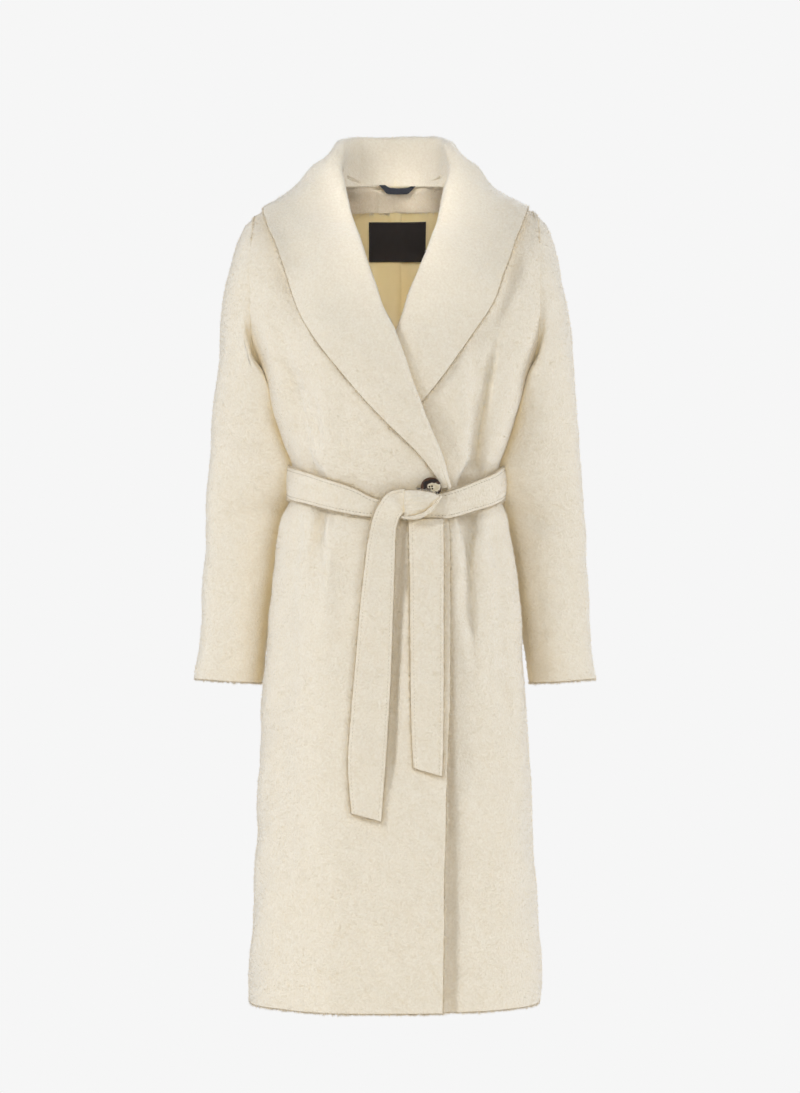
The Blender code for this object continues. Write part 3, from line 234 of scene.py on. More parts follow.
class NodeMesh:
    """The triangles of one node, with the points that they share."""

    def __init__(self, name: str) -> None:
        """Reads the node's triangles and finds which of them meet at each edge.

        Args:
            name: the node.
        """
        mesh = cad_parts[name].data
        points = np.zeros(len(mesh.vertices) * 3)
        mesh.vertices.foreach_get("co", points)
        points = points.reshape(-1, 3)
        corners = np.zeros(len(mesh.polygons) * 3, int)
        mesh.polygons.foreach_get("vertices", corners)
        _, first, same = np.unique(
            np.round(points, MEETING_DECIMALS), axis=0, return_index=True, return_inverse=True
        )
        self.points = points[first]
        self.triangles = same.reshape(-1)[corners].reshape(-1, 3)
        a, b, c = (self.points[self.triangles[:, i]] for i in range(3))
        self.normals = unit(np.cross(b - a, c - a))
        self.edges = edges_of(self.triangles)

    def beyond(self, triangle: int, edge: tuple[int, int]) -> int:
        """The triangle on the other side of an edge."""
        one, two = self.edges[(min(edge), max(edge))]
        return two if one == triangle else one

    def third(self, triangle: int, edge: tuple[int, int]) -> int:
        """The corner of a triangle that isn't on the edge."""
        return next(int(v) for v in self.triangles[triangle] if v not in edge)

    def rim_from(self, start: tuple[int, int]) -> tuple[list[int], list[int], set[int]] | None:
        """Follows the rim of the wall round from an edge that crosses its thickness.

        Args:
            start: the two ends of the edge, one on each sheet.

        Returns:
            The rim's points on one sheet, those facing them on the other and the rim's triangles,
            or None where the edge crosses no rim.
        """
        here = start
        triangle = self.edges[(min(start), max(start))][0]
        ones, others, used = [start[0]], [start[1]], set()
        for _ in range(len(self.points)):
            if triangle in used:
                return None
            used.add(triangle)
            new = self.third(triangle, here)
            keep_one, keep_other = (here[0], new), (here[1], new)
            far_one, far_other = self.beyond(triangle, keep_one), self.beyond(triangle, keep_other)
            flat_one = float(self.normals[triangle] @ self.normals[far_one])
            flat_other = float(self.normals[triangle] @ self.normals[far_other])
            if flat_one > flat_other:
                second, diagonal = far_one, keep_one
                after = (self.third(second, diagonal), new)
            else:
                second, diagonal = far_other, keep_other
                after = (new, self.third(second, diagonal))
            if second in used:
                return None
            used.add(second)
            here = after
            if here == start:
                return ones, others, used
            ones.append(here[0])
            others.append(here[1])
            triangle = self.beyond(second, here)
        return None


def edges_of(triangles: Array) -> dict[tuple[int, int], list[int]]:
    """The triangles at each edge, by the edge's two points.

    Args:
        triangles: the three points of each triangle.

    Returns:
        The triangles' places in the list, by edge.
    """
    edges = defaultdict(list)
    for i, (a, b, c) in enumerate(triangles.tolist()):
        for one, two in ((a, b), (b, c), (c, a)):
            edges[(min(one, two), max(one, two))].append(i)
    return edges


def connected(triangles: Array, numbers: list[int]) -> list[list[int]]:
    """Groups of triangles that are joined by edges, as lists of their numbers.

    Args:
        triangles: all triangles of a node.
        numbers: the triangles to group.

    Returns:
        The groups, in the order in which they were found.
    """
    edges = edges_of(triangles[numbers])
    near = defaultdict(list)
    for pair in edges.values():
        if len(pair) == 2:
            near[pair[0]].append(pair[1])
            near[pair[1]].append(pair[0])
    left, groups = set(range(len(numbers))), []
    while left:
        stack, group = [left.pop()], []
        while stack:
            one = stack.pop()
            group.append(numbers[one])
            for other in near[one]:
                if other in left:
                    left.remove(other)
                    stack.append(other)
        groups.append(group)
    return groups


def rows_below(
    triangles: Array, first: list[int], closed: bool, falling: bool
) -> list[list[int]] | None:
    """Walks down a sheet of triangles from its first row.

    Args:
        triangles: the sheet's triangles.
        first: the points of its first row, with the first repeated at the end of a closed one.
        closed: whether each row is a ring.
        falling: whether each cell is cut from its first corner in this row to its last in the next.

    Returns:
        The points of each row, or None where the sheet isn't such a grid.
    """
    edges, used, rows = edges_of(triangles), set(), [list(first)]

    def take(one: int, two: int) -> int | None:
        """Uses up the next triangle at an edge.

        Args:
            one: the edge's first point.
            two: its second point.

        Returns:
            The triangle's third point, or None where all are used.
        """
        for i in edges.get((min(one, two), max(one, two)), ()):
            if i not in used:
                used.add(i)
                return next(int(v) for v in triangles[i] if v not in (one, two))
        return None

    while len(used) < len(triangles):
        row, new = rows[-1], []
        for one, two in zip(row, row[1:]):
            found = take(one, two)
            if found is None:
                return None
            below, after = (take(one, found), found) if falling else (found, take(two, found))
            if below is None or after is None or (new and new[-1] != below):
                return None
            new += [after] if new else [below, after]
        if closed and new[0] != new[-1]:
            return None
        rows.append(new)
    return rows


def read_sheet(
    node: NodeMesh, numbers: list[int], first: list[int], closed: bool
) -> list[list[int]] | None:
    """Reads one sheet of a wall as rows of points, below its first row.

    Args:
        node: the node's triangles.
        numbers: the sheet's triangles.
        first: the points of its first row.
        closed: whether each row is a ring.

    Returns:
        The rows, the shorter way down where its cells can be cut both ways, or None where it's no grid.
    """
    ways = [rows_below(node.triangles[numbers], first, closed, falling) for falling in (True, False)]
    found = [rows for rows in ways if rows is not None]
    lengths = [float(running_length(node.points[np.array(rows)], 0)[-1]) for rows in found]
    return found[int(np.argmin(lengths))] if found else None


def row_starts(node: NodeMesh, numbers: list[int], rim: list[int]) -> list[list[int]]:
    """The sides of an open sheet that its first row may run along, in the order of its rim.

    Args:
        node: the node's triangles.
        numbers: the sheet's triangles.
        rim: the points round the sheet, in order.

    Returns:
        The first rows that can be tried.
    """
    use = defaultdict(int)
    for i in numbers:
        for v in node.triangles[i].tolist():
            use[v] += 1
    corners = [i for i, v in enumerate(rim) if use[v] < 3]
    turned = rim[corners[0]:] + rim[:corners[0]]
    marks = [c - corners[0] for c in corners] + [len(rim)]
    turned.append(turned[0])
    return [turned[a:b + 1] for a, b in zip(marks, marks[1:])]


def find_rims(node: NodeMesh, thickness: float) -> tuple[list[tuple], list[list[int]]]:
    """Finds the one or two rims that part a node's wall into two sheets.

    Args:
        node: the node's triangles.
        thickness: about how thick its wall is.

    Returns:
        The rims, and the numbers of the triangles of each sheet.
    """
    lengths = {
        edge: float(np.linalg.norm(node.points[edge[0]] - node.points[edge[1]])) for edge in node.edges
    }
    likely = sorted(lengths, key=lambda edge: abs(lengths[edge] - thickness))
    rims, used = [], set()
    for edge in likely[:RIM_TRIES]:
        if any(i in used for i in node.edges[edge]):
            continue
        rim = node.rim_from(edge)
        if rim is None or rim[2] & used:
            continue
        kept = [i for i in range(len(node.triangles)) if i not in used | rim[2]]
        groups = connected(node.triangles, kept)
        if len(groups) == 1 and not rims:
            rims.append(rim)
            used |= rim[2]
        elif len(groups) == 2 and (rims or len(groups[0]) == len(groups[1])):
            return [*rims, rim], groups
    raise ValueError("A node has no rim that parts it into two sheets")


def match_sheets(node: NodeMesh, rims: list[tuple], groups: list[list[int]]
                 ) -> tuple[Array, Array]:
    """Reads both sheets as grids whose points face each other, with the highest side as first row.

    Args:
        node: the node's triangles.
        rims: the wall's rims.
        groups: the numbers of the triangles of each sheet.

    Returns:
        The grids of both sheets.
    """
    closed = len(rims) == 2
    ones = rims[0][0]
    facing = {}
    for rim in rims:
        facing.update(zip(rim[0], rim[1]))
        facing.update(zip(rim[1], rim[0]))
    sheets = sorted(groups, key=lambda group: ones[0] not in node.triangles[group])
    best = None
    for start in [ones + ones[:1]] if closed else row_starts(node, sheets[0], ones):
        one = read_sheet(node, sheets[0], start, closed)
        other = read_sheet(node, sheets[1], [facing[v] for v in start], closed)
        if closed and one and not other:
            other = [[facing[v] for v in row] for row in (one[0], one[-1])]
        if closed and other and not one:
            one = [[facing[v] for v in row] for row in (other[0], other[-1])]
        if not one or not other:
            continue
        drop = node.points[one[0]][:, 2].mean() - node.points[one[-1]][:, 2].mean()
        if best is None or drop > best[0]:
            best = (drop, one, other)
    if best is None:
        raise ValueError("A node has sheets that don't match")
    one, other = (node.points[np.array(rows)] for rows in best[1:])
    return (one[::-1], other[::-1]) if best[0] < 0 else (one, other)


def read_wall(name: str, thickness: float, shown: Shown) -> tuple[Array, Array, bool]:
    """Reads a node as the grid of its shown sheet and the grid of the sheet behind it.

    Args:
        name: the node.
        thickness: about how thick its wall is.
        shown: which sheet shows.

    Returns:
        Both grids, with their top row first and columns from low to high x, and whether they are rings.
    """
    node = NodeMesh(name)
    rims, groups = find_rims(node, thickness)
    closed = len(rims) == 2
    one, other = match_sheets(node, rims, groups)
    if not closed and one[:, -1, 0].mean() < one[:, 0, 0].mean():
        one, other = one[:, ::-1], other[:, ::-1]
    if shown is Shown.FORWARD:
        swap = one[..., 1].mean() > other[..., 1].mean()
    else:
        swap = grid_area(one) < grid_area(other)
    return (other, one, closed) if swap else (one, other, closed)


def grid_area(grid: Array) -> float:
    """The area of a grid of points.

    Args:
        grid: rows and columns of points.

    Returns:
        The area of its cells together.
    """
    across = grid[:-1, 1:] - grid[:-1, :-1]
    down = grid[1:, :-1] - grid[:-1, :-1]
    diagonal = grid[1:, 1:] - grid[:-1, :-1]
    halves = np.cross(across, diagonal), np.cross(diagonal, down)
    return float(sum(np.linalg.norm(half, axis=-1).sum() for half in halves) / 2.0)


# Creases

# A crease starts at this share of its width and gains the second one along its path. It shows only on
# cloth that is turned to its side by more than the third, and fully after the fourth.
START_WIDTH = 0.75
WIDENING = 0.5
LEAST_TOWARD = 0.2
TOWARD_RANGE = 0.5


@dataclass(frozen=True)
class Crease:
    """A soft trough, or a ridge where depth is below 0, along a path seen from the front or the back.

    The path's points are x and z. Sharp is below 1 where the trough's first side, on the left of the
    way along the path, is steeper than the other. Fade is the share of the path that each end takes.
    """

    path: Path
    depth: float
    width: float
    sharp: float = 1.0
    fade: Pair = (0.25, 0.35)
    facing: Facing = Facing.FRONT

    def at(self, points: Array, normals: Array) -> Array:
        """How far each point sinks.

        Args:
            points: rows and columns of points.
            normals: the ways out of the cloth there.

        Returns:
            One depth for each point.
        """
        place = points[..., [0, 2]]
        path = np.array(self.path)
        length = line_length(path)
        fine = np.linspace(0.0, length[-1], 4 * len(path))
        path = spline(length, path, fine) if len(path) > 2 else np.stack(
            [np.interp(fine, length, path[:, i]) for i in range(2)], axis=1
        )
        near = np.full(place.shape[:-1], FAR_OFF)
        along, aside = np.zeros_like(near), np.zeros_like(near)
        for i, (a, b) in enumerate(zip(path, path[1:])):
            run = b - a
            raw = ((place - a) @ run) / float(run @ run)
            part = np.clip(raw, 0.0, 1.0)
            gap = place - (a + part[..., None] * run)
            far = np.linalg.norm(gap, axis=-1)
            closer = far < near
            near = np.where(closer, far, near)
            along = np.where(closer, (i + part) / (len(path) - 1), along)
            turn = run[0] * gap[..., 1] - run[1] * gap[..., 0]
            aside = np.where(closer, np.sign(turn) * far, aside)
        wide = self.width * np.where(aside > 0, self.sharp, 1.0) * (START_WIDTH + WIDENING * along)
        ends = smoothstep(along / self.fade[0]) * smoothstep((1.0 - along) / self.fade[1])
        past = (near > np.abs(aside) + 1e-9).astype(float)
        toward = smoothstep((self.facing.value * normals[..., 1] - LEAST_TOWARD) / TOWARD_RANGE)
        return self.depth * np.exp(-((near / wide) ** 2)) * ends * toward * (1.0 - past)


def back_crease(depth: float, width: float, sharp: float, fade: Pair,
                *numbers: float) -> Crease:
    """A crease seen from the back, all in millimetres.

    Args:
        depth: how deep it is.
        width: how wide it is.
        sharp: how steep its first side is.
        fade: the share of the path that each end takes.
        numbers: x and z in turn of the points of its path.

    Returns:
        The crease.
    """
    path = tuple((x * MM, z * MM) for x, z in zip(numbers[::2], numbers[1::2]))
    return Crease(path, depth * MM, width * MM, sharp, fade, Facing.BACK)


@dataclass(frozen=True)
class Fullness:
    """Lifts the cloth round the shoulder points, on both sides alike."""

    middle: Pair = (0.199, -0.030)
    width: float = 33.0 * MM
    lift: float = 3.2 * MM
    outward: float = 0.0

    def give(self, wall: "Wall") -> None:
        """Moves both sheets of a wall.

        Args:
            wall: the wall.
        """
        for grid in (wall.outer, wall.inner):
            aside, above = np.abs(grid[..., 0]) - self.middle[0], grid[..., 2] - self.middle[1]
            share = np.exp(-(aside**2 + above**2) / self.width**2)
            grid[..., 2] += self.lift * share
            grid[..., 0] += np.sign(grid[..., 0]) * self.outward * share


# Fine walls of cloth

@dataclass
class Wall:
    """One cloth piece, drawn finely: its shown sheet, the sheet behind it and what lies on them."""

    node: str
    thickness: float
    spacing: float
    shown: Shown = Shown.OUTSIDE
    pile: float = PILE_DEPTH
    across_spacing: float = 0.0

    def __post_init__(self) -> None:
        """Reads the node and samples both of its sheets at fine rows and columns."""
        outer, inner, self.closed = read_wall(self.node, self.thickness, self.shown)
        self.measure_cut(outer)
        down, across = running_length(outer, 0), running_length(outer, 1)
        self.down = stations(down[-1], self.spacing, True)
        self.across = stations(across[-1], self.across_spacing or self.spacing, not self.closed)
        self.outer = self.sample(outer, down, across)
        if len(inner) != len(outer):
            down = running_length(inner, 0) * down[-1] / running_length(inner, 0)[-1]
        self.inner = self.sample(inner, down, across)
        self.depth = np.linalg.norm(self.outer - self.inner, axis=-1)
        self.outward = unit(self.outer - self.inner)
        self.sewn = (False, False, False, False)
        self.edge = self.edge_distance()
        self.outer = self.outer - self.outward * self.pile

    def measure_cut(self, grid: Array) -> None:
        """Takes the size of the cut piece from a grid of its shown sheet."""
        self.cut_size = (self.longest(grid, 1), self.longest(grid, 0))
        self.cut_area = min(grid_area(grid), 0.999 * self.cut_size[0] * self.cut_size[1])

    @staticmethod
    def longest(grid: Array, axis: int) -> float:
        """The longest line of a grid along one axis."""
        return float(np.linalg.norm(np.diff(grid, axis=axis), axis=-1).sum(axis=axis).max())

    def sample(self, grid: Array, down: Array, across: Array) -> Array:
        """A smooth surface through a grid, read at the wall's fine rows and columns.

        Args:
            grid: the coarse points.
            down: the coarse rows' places along the cloth.
            across: the coarse columns' places.

        Returns:
            The fine points.
        """
        if self.closed:
            wrap = 3
            grid = np.concatenate([grid[:, -1 - wrap:-1], grid, grid[:, 1:1 + wrap]], axis=1)
            before = across[-1 - wrap:-1] - across[-1]
            after = across[1:1 + wrap] + across[-1]
            across = np.concatenate([before, across, after])
        fine = spline(down, grid, self.down)
        return np.swapaxes(spline(across, np.swapaxes(fine, 0, 1), self.across), 0, 1)

    def edge_distance(self) -> Array:
        """How far each fine point is from the nearest cut edge. A sewn side counts as further off.

        Returns:
            One distance for each fine point.
        """
        far = [SEWN_MARGIN * sewn for sewn in self.sewn]
        rows = np.minimum(self.down + far[0], self.down[-1] - self.down + far[1])
        columns = np.minimum(self.across + far[2], self.across[-1] - self.across + far[3])
        if self.closed:
            columns = np.full_like(columns, FAR_OFF)
        return np.minimum(rows[:, None], columns[None, :])

    def sides(self) -> list[tuple[Array, Array, Array]]:
        """For the top, bottom, first and last sides: the edge, a row inside it and the way out there.

        Returns:
            The four sides, in that order, or the two ends of a tube.
        """
        outer, _ = self.rounded()
        turns, inward = self.normals(), len(ROUND_STEPS)
        found = [(outer[0], outer[inward], turns[0]), (outer[-1], outer[-1 - inward], turns[-1])]
        if not self.closed:
            found.append((outer[:, 0], outer[:, inward], turns[:, 0]))
            found.append((outer[:, -1], outer[:, -1 - inward], turns[:, -1]))
        return found

    def find_sewn(self, neighbours: "Neighbours") -> None:
        """Finds the sides that run along another piece, where the cloth isn't rounded off.

        Args:
            neighbours: the other pieces.
        """
        sewn = []
        for edge, inside, _ in self.sides():
            out = unit(edge - inside)
            near = neighbours.near(self.node, edge - out * MM, out, SEAM_REACH)
            sewn.append(bool(near.mean() > SEWN_SHARE))
        self.sewn = (*sewn, *[False] * (4 - len(sewn)))
        self.edge = self.edge_distance()
        for side in range(4):
            if self.sewn[side]:
                self.stretch(side, SEAM_CLOSING)

    def normals(self) -> Array:
        """The directions out of the shown sheet.

        Returns:
            One direction for each fine point.
        """
        found = grid_normals(self.outer, self.closed)
        flip = np.sign((found * self.outward).sum(axis=-1).mean())
        return found * flip

    def press(self, sinks: Array) -> None:
        """Moves both sheets in by a distance at each fine point."""
        self.move(-self.normals() * sinks[..., None])

    def crease(self, creases: tuple[Crease, ...]) -> None:
        """Presses creases into the wall."""
        normals = self.normals()
        self.press(sum(crease.at(self.outer, normals) for crease in creases))

    def follow(self, creases: tuple[Crease, ...]) -> None:
        """Moves the wall with the creases of the cloth behind it."""
        normals = self.normals()
        self.press(-sum(crease.at(self.outer, -normals) for crease in creases))

    def swell(self, sign: float, *swells: Unevenness) -> None:
        """Gives the wall a gentle unevenness. Sign is -1 for a wall whose shown side is the body's."""
        self.press(sign * sum(swell.at(self.outer) for swell in swells))

    def topstitch(self, inset: float, depth: float, width: float, rows: bool, columns: bool) -> None:
        """Sinks the shown sheet along lines of sewing near its edges.

        Args:
            inset: how far in from the edge the sewing runs.
            depth: how far it sinks.
            width: how wide the dip is.
            rows: whether the top and bottom sides are sewn.
            columns: whether the first and last sides are sewn.
        """
        lines = []
        for used, axis in ((rows, 0), (columns, 1)):
            if used:
                steps = np.linalg.norm(np.diff(self.outer, axis=axis), axis=-1)
                run = np.cumsum(steps, axis=axis)
                start = np.zeros_like(np.take(run, [0], axis=axis))
                run = np.concatenate([start, run], axis=axis)
                lines += [run - inset, np.take(run, [-1], axis=axis) - run - inset]
        sink = sum(np.exp(-((line / width) ** 2)) for line in lines) * depth
        self.outer = self.outer - self.outward * np.minimum(sink, depth)[..., None]

    def rounded(self) -> tuple[Array, Array]:
        """Both sheets, meeting in a round edge halfway through the wall.

        Returns:
            The points of the outer sheet and those of the inner one.
        """
        radius = np.maximum(self.depth - self.pile, LEAST_THICKNESS) / 2.0
        part = np.clip(1.0 - self.edge / radius, 0.0, 1.0)
        share = (0.5 * (1.0 - np.sqrt(np.clip(1.0 - part**2, 0.0, 1.0))))[..., None]
        share = self.half_at_rim(share)
        across = self.inner - self.outer
        return self.outer + across * share, self.inner - across * share

    def move(self, shift: Array) -> None:
        """Moves both sheets by a way and distance for each fine point."""
        self.outer = self.outer + shift
        self.inner = self.inner + shift

    def side_points(self, side: int) -> Array:
        """The points of one side of the shown sheet: 0 the top, 1 the bottom, 2 the first, 3 the last."""
        return (self.outer[0], self.outer[-1], self.outer[:, 0], self.outer[:, -1])[side]

    def stretch(self, side: int, distance: float | Array, over: float = 12.0 * MM) -> None:
        """Lengthens the wall past one side, by one distance or by one for each point of the side.

        Args:
            side: 0 the top, 1 the bottom, 2 the first, 3 the last.
            distance: how far past it the cloth goes.
            over: how far in from it the cloth gives way.
        """
        far = (self.down, self.down[-1] - self.down, self.across, self.across[-1] - self.across)[side]
        share = smoothstep(1.0 - far / over)[:, None] * np.atleast_1d(distance)[None, :]
        for grid in (self.outer, self.inner):
            rows = grid if side < 2 else np.swapaxes(grid, 0, 1)
            edge, inside = (rows[0], rows[len(ROUND_STEPS)]) if side % 2 == 0 else (
                rows[-1], rows[-1 - len(ROUND_STEPS)])
            rows += unit(edge - inside)[None] * share[..., None]

    def half_at_rim(self, share: Array) -> Array:
        """Joins the two sheets at every cut edge, sewn ones too.

        Args:
            share: how far through the wall each point lies.

        Returns:
            The same, and 0.5 at the rim.
        """
        share[[0, -1]] = 0.5
        if not self.closed:
            share[:, [0, -1]] = 0.5
        return share

    def build(self, name: str, shown_look: Material, hidden_look: Material,
              turned_in: float = 0.0) -> Object:
        """Makes the wall's mesh.

        Args:
            name: the new object's name.
            shown_look: the material of the shown sheet.
            hidden_look: the material of the sheet behind it.
            turned_in: how far the shown material is turned in behind the cut edges.

        Returns:
            The object, linked to the scene.
        """
        outer, inner = self.rounded()
        rows, columns = outer.shape[:2]
        last = columns - 1 if self.closed else columns
        count = rows * last
        number = np.arange(count).reshape(rows, last)
        behind = number + count
        behind[[0, -1]] = number[[0, -1]]
        if not self.closed:
            behind[:, [0, -1]] = number[:, [0, -1]]
        if self.closed:
            number, behind = joined_rings(number), joined_rings(behind)
        points = np.concatenate([outer[:, :last].reshape(-1, 3), inner[:, :last].reshape(-1, 3)])
        faces = np.concatenate([quads(number), quads(behind)[:, ::-1]])
        half = len(faces) // 2
        place = np.stack(np.meshgrid(self.across, self.down), axis=-1)
        uv = np.concatenate([quads(place), quads(place)[:, ::-1]])
        if self.inside_out():
            faces, uv = faces[:, ::-1], uv[:, ::-1]
        used, numbers = np.unique(faces, return_inverse=True)
        mesh = bpy.data.meshes.new(name)
        fill_mesh(mesh, points[used], numbers.reshape(faces.shape), uv.reshape(-1, 2))
        edge = quads(self.edge[..., None]).mean(axis=1)[:, 0]
        look = np.zeros(len(faces), np.int32)
        look[half:] = edge > turned_in
        mesh.polygons.foreach_set("material_index", look)
        for material in (shown_look, hidden_look):
            mesh.materials.append(material)
        return add_object(name, mesh)

    def rims(self) -> tuple[Array, ...]:
        """The pieces of the cut edge: their two ends, the way out of the cloth and the shown side.

        Returns:
            Four lists of points or directions, one entry for each piece.
        """
        sides = self.sides()
        begin = np.concatenate([rim[:-1] for rim, _, _ in sides])
        end = np.concatenate([rim[1:] for rim, _, _ in sides])
        inside = np.concatenate([(row[:-1] + row[1:]) / 2.0 for _, row, _ in sides])
        facing = unit(np.concatenate([(turn[:-1] + turn[1:]) / 2.0 for _, _, turn in sides]))
        return begin, end, unit((begin + end) / 2.0 - inside), facing

    def inside_out(self) -> bool:
        """Whether the shown sheet's cells turn away from the side that shows."""
        found = grid_normals(self.outer, self.closed)
        return float((found * self.outward).sum(axis=-1).mean()) > 0.0


def quads(grid: Array) -> Array:
    """The four corners of each cell of a grid, one cell to a row.

    Args:
        grid: a number or a point for each place, in rows and columns.

    Returns:
        The four corners of each cell.
    """
    corners = [grid[:-1, :-1], grid[:-1, 1:], grid[1:, 1:], grid[1:, :-1]]
    stacked = np.stack(corners, axis=2)
    return stacked.reshape(-1, 4, *grid.shape[2:])


def fill_mesh(mesh: bpy.types.Mesh, points: Array, faces: Array, uv: Array) -> None:
    """Fills an empty mesh from arrays.

    Args:
        mesh: the mesh.
        points: its points, one to a row.
        faces: the points of each face, all with as many corners.
        uv: one place for each corner of each face.
    """
    count, sides = faces.shape
    mesh.vertices.add(len(points))
    mesh.vertices.foreach_set("co", points.reshape(-1).astype(np.float32))
    mesh.loops.add(count * sides)
    mesh.loops.foreach_set("vertex_index", faces.reshape(-1).astype(np.int32))
    mesh.polygons.add(count)
    mesh.polygons.foreach_set("loop_start", np.arange(0, count * sides, sides, dtype=np.int32))
    mesh.polygons.foreach_set("use_smooth", np.ones(count, bool))
    mesh.update(calc_edges=True)
    mesh.uv_layers.new(name="UVMap").data.foreach_set("uv", uv.reshape(-1).astype(np.float32))
    mesh.validate()


def add_object(name: str, data: bpy.types.ID) -> Object:
    """Links a new object with this mesh, light or camera to the scene.

    Args:
        name: its name.
        data: what it shows.

    Returns:
        The object.
    """
    new = bpy.data.objects.new(name, data)
    bpy.context.scene.collection.objects.link(new)
    return new


class Neighbours:
    """The other pieces of the coat, as they lie round one of them."""

    def __init__(self) -> None:
        """Starts with no piece looked at."""
        self.trees: dict[str, BVHTree] = {}

    def tree(self, left_out: str) -> BVHTree:
        """All nodes but one, ready for looking along lines.

        Args:
            left_out: the node that isn't in it.

        Returns:
            The tree.
        """
        if left_out not in self.trees:
            points, faces = [], []
            for name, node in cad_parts.items():
                if name != left_out:
                    start = len(points)
                    points += [tuple(v.co) for v in node.data.vertices]
                    faces += [[start + i for i in p.vertices] for p in node.data.polygons]
            self.trees[left_out] = BVHTree.FromPolygons(points, faces)
        return self.trees[left_out]

    def near(self, node: str, places: Array, ways: Array, reach: float) -> Array:
        """Whether another piece lies within reach of each place, along its way.

        Args:
            node: the piece itself, which doesn't count.
            places: the places.
            ways: the way to look at each.
            reach: how far it looks.

        Returns:
            True or false for each place.
        """
        tree = self.tree(node)
        found = (tree.ray_cast(p, w, reach)[0] for p, w in zip(places.tolist(), ways.tolist()))
        return np.array([hit is not None for hit in found])


# The pile of the wool

